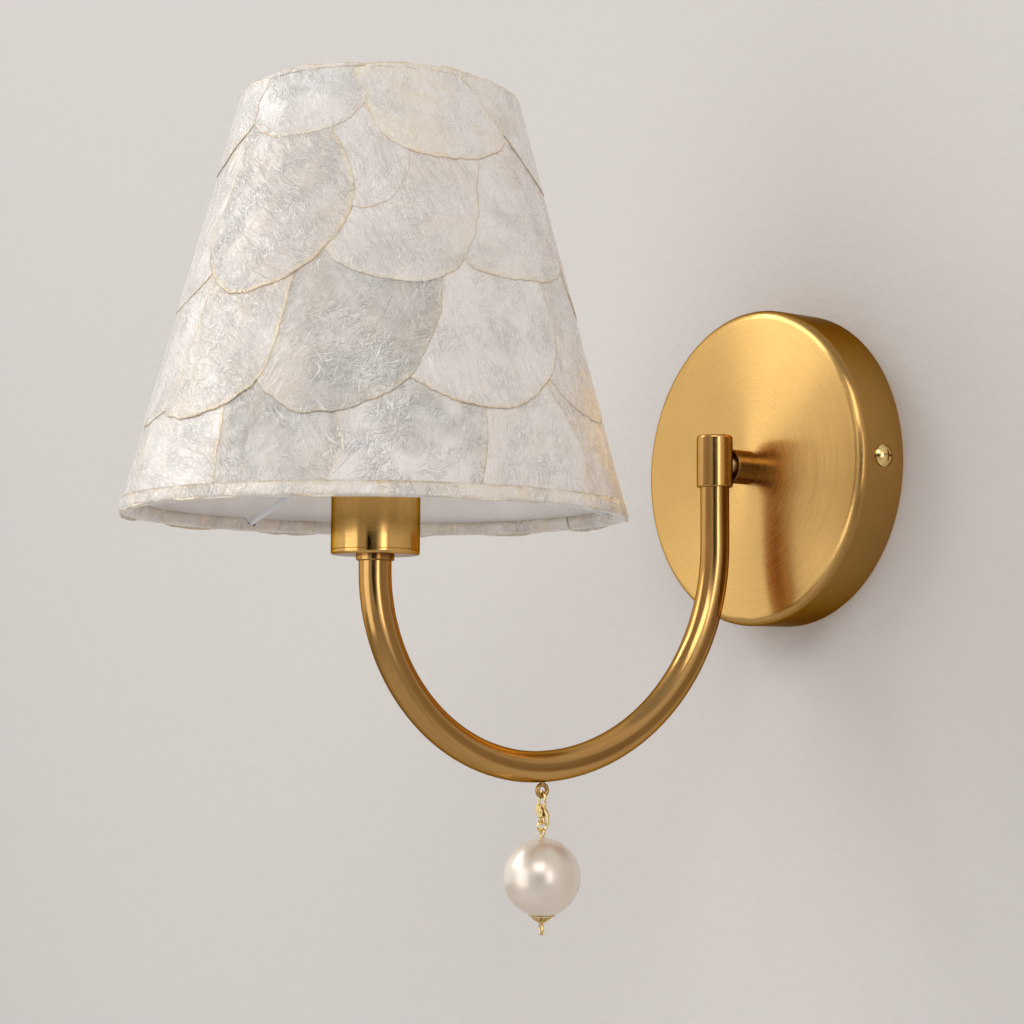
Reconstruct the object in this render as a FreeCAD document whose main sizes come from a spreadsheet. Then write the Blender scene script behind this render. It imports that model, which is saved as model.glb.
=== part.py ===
import FreeCAD
import Part
import Sketcher
import math
import os

from FreeCAD import Placement, Rotation, Vector

# A wall sconce: a round canopy, a bent arm, a lampholder in a turned cup, a conical
# shade of overlapping shell pieces, and a pearl hung on a small clasp.
#
# Frame: the wall is the plane y = 0, the light stands out towards -Y, Z is up and
# the origin is the centre of the bracket's back. All lengths are millimetres.

SIZES = (
    # general fits
    ("slip", 0.05, "radial clearance of a pin, rod or thread in its hole"),
    ("seat_gap", 0.03, "gap left between two faces that are clamped together"),
    # canopy and bracket
    ("canopy_radius", 60.0, "outside radius of the canopy"),
    ("canopy_depth", 21.0, "how far the canopy stands out from the wall"),
    ("canopy_sheet", 1.0, "sheet thickness of the canopy"),
    ("canopy_round", 3.2, "outside rounding of the canopy's front edge"),
    ("bracket_sheet", 1.5, "sheet thickness of the bracket"),
    ("bracket_half_height", 7.0, "half the height of the bracket's strip"),
    ("ear_gap", 0.6, "gap from an ear to the canopy's inner wall"),
    ("ear_reach", 15.0, "how far an ear stands out from the wall"),
    ("slot_offset", 30.0, "distance of a wall slot from the centre"),
    ("slot_length", 12.0, "overall length of a wall slot"),
    ("slot_width", 4.5, "width of a wall slot"),
    ("entry_radius", 9.0, "hole for the supply in the bracket's middle"),
    ("entry_rim", 14.0, "round plate about that hole"),
    ("screw_depth", 10.0, "distance of the side screws from the wall"),
    ("screw_radius", 2.0, "thread radius of the side and earth screws"),
    ("screw_length", 8.0, "shank length of a side screw"),
    ("head_radius", 4.0, "radius of a pan head"),
    ("head_height", 2.4, "height of a pan head"),
    ("head_dome", 5.0, "sphere radius of a pan head"),
    ("cross_length", 4.0, "length of the cross recess"),
    ("cross_width", 0.85, "width of the cross recess"),
    ("cross_depth", 1.3, "depth of the cross recess"),
    ("earth_offset", 45.0, "distance of the earth screw from the centre"),
    # hollow rod, standoff and elbow
    ("rod_radius", 4.0, "M8 x 1 hollow rod"),
    ("rod_bore", 2.75, "bore radius of the hollow rods"),
    ("rod_start", 14.0, "distance of the rod's inner end from the wall"),
    ("washer_radius", 7.5, "washer behind the canopy's face"),
    ("washer_height", 1.0, "washer thickness"),
    ("nut_radius", 6.9, "lock nut, centre to corner"),
    ("nut_height", 3.2, "lock nut height"),
    ("standoff_radius", 6.4, "round spacer between canopy and elbow"),
    ("standoff_length", 9.25, "length of the spacer"),
    ("elbow_radius", 6.75, "outside radius of the elbow"),
    ("elbow_top", 11.0, "top of the elbow"),
    ("elbow_bottom", -8.5, "bottom of the elbow"),
    ("elbow_cavity", 4.9, "radius of the elbow's inner room"),
    ("elbow_cavity_top", 5.5, "top of the elbow's inner room"),
    ("elbow_step", -4.2, "height at which the tube stops inside the elbow"),
    # arm
    ("tube_radius", 5.4, "outside radius of the arm tube"),
    ("tube_bore", 4.1, "inside radius of the arm tube"),
    ("bend_wall", 80.0, "bend radius of the arm on the wall side"),
    ("bend_cup", 66.0, "bend radius of the arm on the cup side"),
    ("arm_low", -110.0, "height of the arm's lowest point, on its centre line"),
    ("collar_radius", 6.3, "collar between the arm and the cup"),
    ("collar_height", 1.85, "height of the collar"),
    ("lead_radius", 0.9, "radius of an insulated lead"),
    ("lead_offset", 1.1, "distance of a lead from the centre plane"),
    ("lead_bend", 3.0, "small bend radius of the leads"),
    ("lead_start", 9.0, "distance of the leads from the wall at the terminal block"),
    ("lead_top", 21.0, "height at which the leads leave the terminal block"),
    ("block_width", 22.0, "terminal block"),
    ("block_depth", 14.0, "terminal block"),
    ("block_height", 17.0, "terminal block"),
    # cup and lampholder
    ("cup_bottom", -39.5, "underside of the cup"),
    ("cup_top", -5.9, "rim of the cup"),
    ("cup_gap", 0.7, "gap between the lampholder and the cup's wall"),
    ("cup_wall", 1.3, "wall of the cup"),
    ("cup_floor", 2.0, "floor of the cup"),
    ("nipple_bottom", -45.0, "lower end of the cup's hollow rod"),
    ("nipple_top", -31.0, "upper end of the cup's hollow rod"),
    ("holder_radius", 12.6, "outside radius of the lampholder"),
    ("holder_split", -26.0, "joint between the lampholder's cap and body"),
    ("holder_cap_floor", 5.0, "floor of the lampholder's cap"),
    ("holder_top", 5.6, "top of the lampholder"),
    ("holder_bore", 7.7, "bore of the lampholder's body"),
    ("holder_floor", -22.0, "height of the floor inside the lampholder"),
    ("thread_rise", 0.4, "height of the outside thread over the lampholder, for the shade"),
    ("thread_pitch", 1.5, "pitch of the outside thread"),
    ("thread_depth", 0.35, "depth of the outside thread"),
    ("socket_radius", 7.6, "outside radius of the E14 thread shell"),
    ("socket_sheet", 0.4, "sheet of the E14 thread shell"),
    ("contact_radius", 3.0, "centre contact of the lampholder"),
    ("contact_height", 1.2, "centre contact of the lampholder"),
    # shade
    ("shade_low", -27.5, "lower edge of the shade"),
    ("shade_high", 110.0, "upper edge of the shade"),
    ("liner_low_radius", 82.5, "outside radius of the liner at the lower edge"),
    ("liner_high_radius", 46.1, "outside radius of the liner at the upper edge"),
    ("liner_sheet", 0.5, "thickness of the liner"),
    ("shell_sheet", 0.6, "thickness of a shell piece"),
    ("shell_gap", 0.1, "gap between the layers of the shade"),
    ("joint_gap", 0.3, "gap between two neighbours of one row"),
    ("top_row_low", 82.0, "lowest point of the top row"),
    ("top_row_high", 109.2, "top edge of the top row"),
    ("top_row_round", 30.0, "radius of the outline of a piece in the top row"),
    ("upper_row_low", 37.0, "lowest point of the upper row"),
    ("upper_row_high", 97.0, "top edge of the upper row"),
    ("upper_row_round", 34.0, "radius of the outline of a piece in the upper row"),
    ("lower_row_low", -2.0, "lowest point of the lower row"),
    ("lower_row_high", 53.0, "top edge of the lower row"),
    ("lower_row_round", 32.0, "radius of the outline of a piece in the lower row"),
    ("bottom_row_low", -26.7, "lowest point of the bottom row"),
    ("bottom_row_high", 12.0, "top edge of the bottom row"),
    ("top_row_lift", 0.6, "distance of the top row from the liner at its top"),
    ("hem_sheet", 0.7, "thickness of a hem"),
    ("low_hem_height", 5.1, "height of the lower hem outside"),
    ("low_hem_inside", 4.6, "height of the lower hem inside"),
    ("high_hem_height", 3.4, "height of the upper hem outside"),
    ("low_ring_wire", 1.3, "wire radius of the lower ring"),
    ("high_ring_wire", 1.2, "wire radius of the upper ring"),
    ("spoke_radius", 1.0, "wire radius of a spoke"),
    ("fitter_width", 4.5, "width of the fitter ring, from the thread out"),
    ("fitter_sheet", 1.6, "thickness of the fitter ring"),
    ("clamp_width", 4.0, "width of the clamp ring, from the thread out"),
    ("clamp_height", 4.6, "height of the clamp ring"),
    # lamp
    ("globe_radius", 22.5, "glass globe"),
    ("globe_centre", 36.5, "height of the globe's centre"),
    ("globe_wall", 0.8, "glass thickness"),
    ("neck_low_radius", 8.0, "glass neck at the cap"),
    ("neck_high_radius", 17.0, "glass neck where it meets the globe"),
    ("neck_bottom", 8.0, "lower edge of the glass"),
    ("neck_top", 22.0, "height at which the neck meets the globe"),
    ("cap_radius", 6.95, "E14 cap, outside its thread"),
    ("cap_bottom", -17.0, "lower edge of the cap"),
    ("cap_sheet", 0.5, "sheet of the cap"),
    ("cap_pitch", 2.8, "pitch of the cap's thread"),
    ("cap_groove", 0.6, "depth of the cap's thread"),
    ("button_radius", 2.2, "contact button of the lamp"),
    ("button_height", 1.0, "contact button of the lamp"),
    ("stem_radius", 3.4, "glass stem of the lamp"),
    ("stem_top", 22.0, "top of the glass stem"),
    ("filament_radius", 0.8, "one filament rod"),
    ("filament_ring", 4.6, "circle on which the filament rods stand"),
    ("filament_length", 30.0, "length of a filament rod"),
    # hanging eye, clasp and pearl
    ("pendant_y", -115.5, "distance of the pendant from the wall plane"),
    ("eye_wire", 0.75, "wire radius of the fixed eye"),
    ("eye_mean", 2.0, "mean radius of the fixed eye"),
    ("eye_stem", 0.8, "stem radius of the fixed eye"),
    ("hook_wire", 0.6, "wire radius of the clasp's hook"),
    ("hook_mean", 1.9, "mean radius of the clasp's hook"),
    ("clasp_thick", 2.2, "thickness of the clasp's body"),
    ("lever_thick", 0.9, "thickness of the clasp's lever"),
    ("rivet_radius", 0.45, "rivet of the clasp"),
    ("rivet_head", 0.75, "radius of the rivet's heads"),
    ("rivet_x", 0.3, "sideways place of the rivet"),
    ("rivet_z", -125.2, "height of the rivet"),
    ("tail_mean", 1.2, "mean radius of the clasp's tail ring"),
    ("tail_wire", 0.45, "wire radius of the clasp's tail ring"),
    ("tail_land", -129.55, "height of the lowest wire of the tail ring"),
    ("ring_mean", 1.75, "mean radius of the jump ring"),
    ("ring_wire", 0.45, "wire radius of the jump ring"),
    ("pin_wire", 0.4, "wire radius of the pearl's pin"),
    ("pin_loop", 1.3, "mean radius of the pin's upper loop"),
    ("end_loop", 1.7, "mean radius of the pin's lower loop"),
    ("end_turn", 16.0, "twist of the lower loop, in degrees"),
    ("pearl_radius", 13.4, "radius of the pearl"),
    ("pearl_bore", 0.5, "radius of the pearl's bore"),
    ("bead_cap_radius", 4.7, "radius of the bead cap"),
    ("bead_cap_height", 2.9, "height of the bead cap"),
)

# The rows of shell pieces, from the top of the shade down, with the number of pieces
# in each and the direction of each row's first piece.
ROWS = ("top", "upper", "lower", "bottom")
ROW_COUNTS = {"top": 7, "upper": 8, "lower": 10, "bottom": 12}
ROW_DIRECTIONS = {"top": -63.3, "upper": -61.5, "lower": -73.0, "bottom": -52.0}

SPOKE_DIRECTIONS = (65.0, 185.0, 305.0)

doc = FreeCAD.newDocument("wall_sconce")
sheet = doc.addObject("Spreadsheet::Sheet", "sizes")


class Size:
    """A length together with the expression that gives it from the sheet."""

    def __init__(self, value, text):
        self.value = value
        self.text = text

    def __add__(self, other):
        other = as_size(other)
        return Size(self.value + other.value, "(%s + %s)" % (self.text, other.text))

    def __radd__(self, other):
        return as_size(other) + self

    def __sub__(self, other):
        other = as_size(other)
        return Size(self.value - other.value, "(%s - %s)" % (self.text, other.text))

    def __rsub__(self, other):
        return as_size(other) - self

    def __mul__(self, other):
        other = as_size(other)
        return Size(self.value * other.value, "(%s * %s)" % (self.text, other.text))

    def __rmul__(self, other):
        return as_size(other) * self

    def __truediv__(self, other):
        other = as_size(other)
        return Size(self.value / other.value, "(%s / %s)" % (self.text, other.text))

    def __neg__(self):
        return Size(-self.value, "(0 - %s)" % self.text)


def as_size(number):
    if isinstance(number, Size):
        return number
    return Size(float(number), "(%r)" % float(number))


def fill_sheet():
    """Writes every driving dimension and gives its cell an alias."""
    for row, (alias, value, note) in enumerate(SIZES, start=1):
        sheet.set("A%d" % row, alias)
        sheet.set("B%d" % row, str(value))
        sheet.set("C%d" % row, note)
        sheet.setAlias("B%d" % row, alias)
    doc.recompute()


VALUES = {alias: value for alias, value, note in SIZES}


def size(alias):
    return Size(VALUES[alias], "sizes." + alias)


def square_root(number):
    return Size(math.sqrt(number.value), "sqrt(%s)" % number.text)


def is_plain(number):
    return "sizes." not in number.text


# Rotations that lay a primitive's own Z axis along another direction.
UPRIGHT = Rotation()
FORWARD = Rotation(Vector(1, 0, 0), 90)
SIDEWAYS = Rotation(Vector(0, 1, 0), 90)


def place(thing, at=(0, 0, 0), turn=UPRIGHT):
    """Puts an object at a point whose coordinates stay bound to the sheet."""
    spot = [as_size(value) for value in at]
    thing.Placement = Placement(Vector(*[part.value for part in spot]), turn)
    for axis, part in zip("xyz", spot):
        if not is_plain(part):
            thing.setExpression("Placement.Base." + axis, part.text)
    return thing


def primitive(kind, name, lengths, at=(0, 0, 0), turn=UPRIGHT):
    """A Part primitive with its lengths bound to the sheet."""
    thing = doc.addObject("Part::" + kind, name)
    for prop, value in lengths.items():
        value = as_size(value)
        setattr(thing, prop, value.value)
        if not is_plain(value):
            thing.setExpression(prop, value.text)
    return place(thing, at, turn)


def cylinder(name, radius, height, at=(0, 0, 0), turn=UPRIGHT):
    return primitive("Cylinder", name, {"Radius": radius, "Height": height}, at, turn)


def box(name, length, width, height, at=(0, 0, 0), turn=UPRIGHT):
    """A box centred on its place in X and Y and standing on it in Z."""
    length, width, height = as_size(length), as_size(width), as_size(height)
    corner = turn.multVec(Vector(-length.value / 2, -width.value / 2, 0))
    spot = [as_size(value) + offset for value, offset in zip(at, corner)]
    return primitive(
        "Box", name, {"Length": length, "Width": width, "Height": height}, spot, turn)


def torus(name, mean, wire, at=(0, 0, 0), turn=UPRIGHT, sweep=360.0):
    return primitive(
        "Torus", name, {"Radius1": mean, "Radius2": wire, "Angle3": sweep}, at, turn)


def fuse(name, pieces):
    thing = doc.addObject("Part::MultiFuse", name)
    thing.Shapes = pieces
    return thing


def common(name, pieces):
    thing = doc.addObject("Part::MultiCommon", name)
    thing.Shapes = pieces
    return thing


def cut(name, base, tool):
    thing = doc.addObject("Part::Cut", name)
    thing.Base = base
    thing.Tool = tool
    return thing


def group(name, pieces):
    """Separate solids that share one node."""
    thing = doc.addObject("Part::Compound", name)
    thing.Links = pieces
    return thing


def plane_of(body, role):
    for feature in body.Origin.OriginFeatures:
        if feature.Role == role:
            return feature
    raise ValueError("no plane " + role)


def profile(body, name, role, points):
    """A closed outline whose corners are bound to the sheet."""
    sketch = body.newObject("Sketcher::SketchObject", name)
    sketch.AttachmentSupport = [(plane_of(body, role), "")]
    sketch.MapMode = "FlatFace"
    corners = [(as_size(x), as_size(y)) for x, y in points]
    count = len(corners)
    for index in range(count):
        start, end = corners[index], corners[(index + 1) % count]
        sketch.addGeometry(Part.LineSegment(
            Vector(start[0].value, start[1].value, 0),
            Vector(end[0].value, end[1].value, 0)), False)
    for index in range(count):
        sketch.addConstraint(
            Sketcher.Constraint("Coincident", index, 2, (index + 1) % count, 1))
    for index, corner in enumerate(corners):
        for kind, axis, value in (("DistanceX", -2, corner[0]), ("DistanceY", -1, corner[1])):
            if is_plain(value) and value.value == 0:
                sketch.addConstraint(Sketcher.Constraint("PointOnObject", index, 1, axis))
                continue
            number = sketch.addConstraint(
                Sketcher.Constraint(kind, -1, 1, index, 1, value.value))
            if not is_plain(value):
                sketch.setExpression("Constraints[%d]" % number, value.text)
    return sketch


def round_edges(body, name, radius, wanted):
    """Rounds the circular edges whose centre and radius the test accepts."""
    doc.recompute()
    tip = body.Tip
    names = []
    for number, edge in enumerate(tip.Shape.Edges, start=1):
        if isinstance(edge.Curve, Part.Circle) and wanted(edge.Curve.Center, edge.Curve.Radius):
            names.append("Edge%d" % number)
    if not names:
        raise ValueError("no edge found for " + name)
    fillet = body.newObject("PartDesign::Fillet", name)
    fillet.Base = (tip, names)
    radius = as_size(radius)
    fillet.Radius = radius.value
    if not is_plain(radius):
        fillet.setExpression("Radius", radius.text)
    body.Tip = fillet
    return fillet


def turned(name, points, at=(0, 0, 0), role="XZ_Plane"):
    """A turned piece: the outline is radius and height, turned about the sketch's V axis."""
    body = doc.addObject("PartDesign::Body", name)
    outline = profile(body, name + "_outline", role, points)
    turning = body.newObject("PartDesign::Revolution", name + "_turning")
    turning.Profile = outline
    turning.ReferenceAxis = (outline, ["V_Axis"])
    turning.Angle = 360.0
    body.Tip = turning
    place(body, at)
    return body


def padded(name, points, thickness, at=(0, 0, 0), role="XZ_Plane"):
    """A flat piece of even thickness, centred on the plane of its outline."""
    body = doc.addObject("PartDesign::Body", name)
    outline = profile(body, name + "_outline", role, points)
    pad = body.newObject("PartDesign::Pad", name + "_pad")
    pad.Profile = outline
    thickness = as_size(thickness)
    pad.Length = thickness.value
    if not is_plain(thickness):
        pad.setExpression("Length", thickness.text)
    pad.Midplane = True
    body.Tip = pad
    place(body, at)
    return body


def near(first, second):
    return abs(first - second) < 0.02


fill_sheet()

# Distances that follow from the sheet.
slip = size("slip")
seat_gap = size("seat_gap")
arm_y = -(size("canopy_depth") + size("standoff_length") + size("elbow_radius"))
bend_y = arm_y - size("bend_wall")
cup_y = bend_y - size("bend_cup")
bend_wall_top = size("arm_low") + size("bend_wall")
bend_cup_top = size("arm_low") + size("bend_cup")
cup_radius = size("holder_radius") + size("cup_gap") + size("cup_wall")
thread_radius = size("holder_radius") + size("thread_rise")
fitter_radius = thread_radius + size("fitter_width")
clamp_radius = thread_radius + size("clamp_width")
collar_bottom = size("cup_bottom") - seat_gap - size("collar_height")
tube_end = collar_bottom - seat_gap
thread_hole = size("rod_radius") + slip
screw_hole = size("screw_radius") + slip
shade_slope = (
    (size("liner_low_radius") - size("liner_high_radius"))
    / (size("shade_high") - size("shade_low")))
layer_seat = size("shell_sheet") + 2 * size("shell_gap")
eye_centre = size("arm_low") - size("tube_radius") - size("eye_mean") - size("eye_wire")
eye_low_wire = eye_centre - size("eye_mean")
hook_top = eye_low_wire + size("eye_wire") + slip + size("hook_wire")
hook_centre = hook_top - size("hook_mean")
ring_top = size("tail_land") + size("tail_wire") + slip + size("ring_wire")
ring_centre = ring_top - size("ring_mean")
ring_low_wire = ring_centre - size("ring_mean")
pin_top = ring_low_wire + size("ring_wire") + slip + size("pin_wire")
pin_centre = pin_top - size("pin_loop")
pearl_top = pin_centre - size("pin_loop") - size("pin_wire") - slip
pearl_centre = pearl_top - size("pearl_radius")


def liner_radius(height):
    """Outside radius of the liner at a height."""
    return size("liner_low_radius") - (height - size("shade_low")) * shade_slope


def pan_head_screw(name, length, at, turn):
    """A pan head with a cross recess; its own Z runs out of the head."""
    head = cylinder(name + "_head", size("head_radius"), size("head_height"))
    dome = primitive(
        "Sphere", name + "_dome", {"Radius": size("head_dome")},
        (0, 0, size("head_height") - size("head_dome")))
    rounded = common(name + "_rounded", [head, dome])
    floor = size("head_height") - size("cross_depth")
    arms = []
    for label, length_x, length_y in (
            ("a", size("cross_length"), size("cross_width")),
            ("b", size("cross_width"), size("cross_length"))):
        arms.append(primitive(
            "Box", name + "_cross_" + label,
            {"Length": length_x, "Width": length_y, "Height": size("cross_depth") + 1},
            (-length_x / 2, -length_y / 2, floor)))
    recess = fuse(name + "_cross", arms)
    shank = cylinder(name + "_shank", size("screw_radius"), length, (0, 0, -length))
    screw = fuse(name + "_blank", [cut(name + "_top", rounded, recess), shank])
    placed = doc.addObject("Part::Compound", name)
    placed.Links = [screw]
    return place(placed, at, turn)


# Bracket, screws and terminal block ------------------------------------------------

ear_face = size("canopy_radius") - size("canopy_sheet") - size("ear_gap")


def mounting_bracket():
    strip = box(
        "bracket_strip", 2 * ear_face, 2 * size("bracket_half_height"),
        size("bracket_sheet"), turn=FORWARD)
    middle = cylinder("bracket_middle", size("entry_rim"), size("bracket_sheet"), turn=FORWARD)
    solids = [strip, middle]
    holes = [cylinder("bracket_entry", size("entry_radius"), 4, (0, 1, 0), FORWARD)]
    slot_half = (size("slot_length") - size("slot_width")) / 2
    for side in (-1, 1):
        tag = "right" if side > 0 else "left"
        ear_x = side * (ear_face - size("bracket_sheet") / 2)
        solids.append(box(
            "bracket_ear_" + tag, size("bracket_sheet"), 2 * size("bracket_half_height"),
            size("ear_reach"), (ear_x, 0, 0), FORWARD))
        holes.append(cylinder(
            "bracket_thread_" + tag, screw_hole, 8,
            (side * ear_face - 4, -size("screw_depth"), 0), SIDEWAYS))
        centre = side * size("slot_offset")
        holes.append(box(
            "bracket_slot_" + tag, 2 * slot_half, size("slot_width"), 4,
            (centre, 1, 0), FORWARD))
        for end in (-1, 1):
            holes.append(cylinder(
                "bracket_slot_%s_%s" % (tag, "b" if end > 0 else "a"),
                size("slot_width") / 2, 4, (centre + end * slot_half, 1, 0), FORWARD))
    holes.append(cylinder(
        "bracket_earth", screw_hole, 4, (size("earth_offset"), 1, 0), FORWARD))
    return cut("mounting_bracket", fuse("bracket_plate", solids), fuse("bracket_holes", holes))


def side_screws():
    pieces = []
    for side in (-1, 1):
        turn = Rotation(Vector(0, 1, 0), 90 * side)
        pieces.append(pan_head_screw(
            "side_screw_" + ("right" if side > 0 else "left"), size("screw_length"),
            (side * (size("canopy_radius") + seat_gap), -size("screw_depth"), 0), turn))
    return group("side_screws", pieces)


def earth_screw():
    return pan_head_screw(
        "earth_screw", size("bracket_sheet"),
        (size("earth_offset"), -size("bracket_sheet") - seat_gap, 0), FORWARD)


def terminal_block():
    middle = size("lead_top") + size("block_height") / 2
    block = box(
        "block_blank", size("block_width"), size("block_height"), size("block_depth"),
        (0, -size("bracket_sheet") - seat_gap, middle), FORWARD)
    holes = []
    for side in (-1, 1):
        tag = "right" if side > 0 else "left"
        holes.append(cylinder(
            "block_entry_" + tag, size("lead_radius") + slip, 6,
            (side * size("lead_offset"), -size("lead_start"), size("lead_top") - 1)))
        holes.append(cylinder(
            "block_well_" + tag, 2.2, 6,
            (side * 5, -size("bracket_sheet") - size("block_depth") + 4, middle), FORWARD))
    return cut("terminal_block", block, fuse("block_holes", holes))


def terminal_screws():
    middle = size("lead_top") + size("block_height") / 2
    front = size("bracket_sheet") + size("block_depth")
    screws = []
    for side in (-1, 1):
        tag = "right" if side > 0 else "left"
        body = cylinder(
            "terminal_screw_blank_" + tag, 2.1, 3, (side * 5, -front + 3.9, middle), FORWARD)
        slot = box("terminal_screw_slot_" + tag, 5, 0.7, 1, (side * 5, -front + 1.7, middle), FORWARD)
        screws.append(cut("terminal_screw_" + tag, body, slot))
    return group("terminal_screws", screws)


# Canopy, rod, standoff and elbow ---------------------------------------------------

def canopy():
    outer, sheet_t, depth = size("canopy_radius"), size("canopy_sheet"), size("canopy_depth")
    dish = turned("canopy_dish", (
        (outer, 0), (outer, -depth), (thread_hole, -depth), (thread_hole, sheet_t - depth),
        (outer - sheet_t, sheet_t - depth), (outer - sheet_t, 0)), role="XY_Plane")
    round_edges(
        dish, "canopy_outer_round", size("canopy_round"),
        lambda centre, radius: near(radius, outer.value) and near(centre.y, -depth.value))
    round_edges(
        dish, "canopy_inner_round", size("canopy_round") - sheet_t,
        lambda centre, radius: near(radius, (outer - sheet_t).value)
        and near(centre.y, (sheet_t - depth).value))
    bore = cylinder(
        "canopy_screw_holes", size("screw_radius") + 4 * slip, 2 * outer + 4,
        (-outer - 2, -size("screw_depth"), 0), SIDEWAYS)
    return cut("canopy", dish, bore)


def ring_forward(name, radius, bore, start, length):
    """A ring about the axis of the hollow rod; start is its distance from the wall."""
    blank = cylinder(name + "_blank", radius, length, (0, -start, 0), FORWARD)
    hole = cylinder(name + "_bore", bore, length + 2, (0, 1 - start, 0), FORWARD)
    return cut(name, blank, hole)


def hollow_rod():
    end = -arm_y - size("rod_radius")
    return ring_forward(
        "hollow_rod", size("rod_radius"), size("rod_bore"), size("rod_start"),
        end - size("rod_start"))


inner_face = size("canopy_depth") - size("canopy_sheet")


def lock_washer():
    return ring_forward(
        "lock_washer", size("washer_radius"), thread_hole + slip,
        inner_face - seat_gap - size("washer_height"), size("washer_height"))


def lock_nut():
    start = inner_face - 2 * seat_gap - size("washer_height") - size("nut_height")
    blank = primitive(
        "Prism", "lock_nut_blank",
        {"Circumradius": size("nut_radius"), "Height": size("nut_height")},
        (0, -start, 0), FORWARD)
    blank.Polygon = 6
    hole = cylinder(
        "lock_nut_bore", thread_hole, size("nut_height") + 2, (0, 1 - start, 0), FORWARD)
    return cut("lock_nut", blank, hole)


def standoff():
    front = size("canopy_depth") + size("standoff_length")
    spacer = turned("standoff", (
        (thread_hole, -size("canopy_depth") - seat_gap),
        (size("standoff_radius"), -size("canopy_depth") - seat_gap),
        (size("standoff_radius"), seat_gap - front),
        (thread_hole, seat_gap - front)), role="XY_Plane")
    round_edges(
        spacer, "standoff_round", 0.5,
        lambda centre, radius: near(radius, VALUES["standoff_radius"])
        and near(centre.y, (seat_gap - front).value))
    return spacer


def elbow():
    radius, tube_hole = size("elbow_radius"), size("tube_radius") + slip
    body = turned("elbow_block", (
        (tube_hole, size("elbow_bottom")), (radius - 0.4, size("elbow_bottom")),
        (radius, size("elbow_bottom") + 0.4), (radius, size("elbow_top")),
        (0, size("elbow_top")), (0, size("elbow_cavity_top")),
        (size("elbow_cavity"), size("elbow_cavity_top")),
        (size("elbow_cavity"), size("elbow_step")), (tube_hole, size("elbow_step"))),
        (0, arm_y, 0))
    round_edges(
        body, "elbow_round", 1.1,
        lambda centre, edge: near(edge, radius.value) and near(centre.z, VALUES["elbow_top"]))
    side_hole = cylinder("elbow_side_thread", thread_hole, radius + 2, (0, arm_y + radius + 2, 0), FORWARD)
    return cut("elbow", body, side_hole)


# Arm, leads and cup ----------------------------------------------------------------

def along_arm(name, radius, offset, top, end):
    """A round bar along the arm: down from the elbow, round both bends, up to the cup."""
    wall_leg = cylinder(name + "_wall_leg", radius, top - bend_wall_top, (offset, arm_y, bend_wall_top))
    wall_bend = torus(
        name + "_wall_bend", size("bend_wall"), radius, (offset, bend_y, bend_wall_top),
        Rotation(Vector(0, 1, 0), 90) * Rotation(Vector(0, 0, 1), 0), 90.0)
    cup_bend = torus(
        name + "_cup_bend", size("bend_cup"), radius, (offset, bend_y, bend_cup_top),
        Rotation(Vector(0, 1, 0), 90) * Rotation(Vector(0, 0, 1), -90), 90.0)
    cup_leg = cylinder(name + "_cup_leg", radius, end - bend_cup_top, (offset, cup_y, bend_cup_top))
    return [wall_leg, wall_bend, cup_bend, cup_leg]


def arm_tube():
    top = size("elbow_step") - seat_gap
    outside = fuse("arm_outside", along_arm("arm_outside", size("tube_radius"), 0, top, tube_end))
    inside = fuse("arm_inside", along_arm("arm_inside", size("tube_bore"), 0, top, tube_end))
    eye_hole = cylinder(
        "arm_eye_hole", size("eye_stem") + slip, 4,
        (0, size("pendant_y"), size("arm_low") - size("tube_radius") - 1))
    return cut("arm_tube", outside, fuse("arm_voids", [inside, eye_hole]))


def lead(name, side):
    """One insulated lead, from the terminal block to the lampholder."""
    offset = side * size("lead_offset")
    radius, bend = size("lead_radius"), size("lead_bend")
    pieces = [
        cylinder(name + "_drop", radius, size("lead_top") - bend + 4, (offset, -size("lead_start"), bend)),
        torus(
            name + "_first_bend", bend, radius, (offset, -size("lead_start") - bend, bend),
            Rotation(Vector(0, 1, 0), 90), 90.0),
        cylinder(
            name + "_run", radius, -arm_y - size("lead_start") - 2 * bend,
            (offset, -size("lead_start") - bend, 0), FORWARD),
        torus(
            name + "_second_bend", bend, radius, (offset, arm_y + bend, -bend),
            Rotation(Vector(0, 1, 0), 90) * Rotation(Vector(0, 0, 1), 180), 90.0),
    ]
    end = size("nipple_top") + 2
    pieces += along_arm(name, radius, offset, -bend, end)
    return fuse(name, pieces)


def ring_upright(name, radius, bore, bottom, top):
    """A plain ring about the axis of the cup."""
    return turned(name, ((bore, bottom), (radius, bottom), (radius, top), (bore, top)), (0, cup_y, 0))


def arm_collar():
    collar = ring_upright(
        "arm_collar", size("collar_radius"), thread_hole, collar_bottom,
        size("cup_bottom") - seat_gap)
    round_edges(
        collar, "arm_collar_round", 0.5,
        lambda centre, radius: near(radius, VALUES["collar_radius"])
        and near(centre.z, collar_bottom.value))
    return collar


def cup_rod():
    return ring_upright(
        "cup_rod", size("rod_radius"), size("rod_bore"), size("nipple_bottom"), size("nipple_top"))


def socket_cup():
    radius, wall, bottom = cup_radius, size("cup_wall"), size("cup_bottom")
    groove = bottom + 1.7
    cup = turned("socket_cup", (
        (thread_hole, bottom), (radius, bottom), (radius, groove - 0.15),
        (radius - 0.15, groove), (radius, groove + 0.15), (radius, size("cup_top")),
        (radius - wall, size("cup_top")), (radius - wall, bottom + size("cup_floor")),
        (thread_hole, bottom + size("cup_floor"))), (0, cup_y, 0))
    round_edges(
        cup, "socket_cup_round", 0.9,
        lambda centre, edge: near(edge, radius.value) and near(centre.z, bottom.value))
    return cup


holder_bottom = size("cup_bottom") + size("cup_floor") + seat_gap


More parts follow.
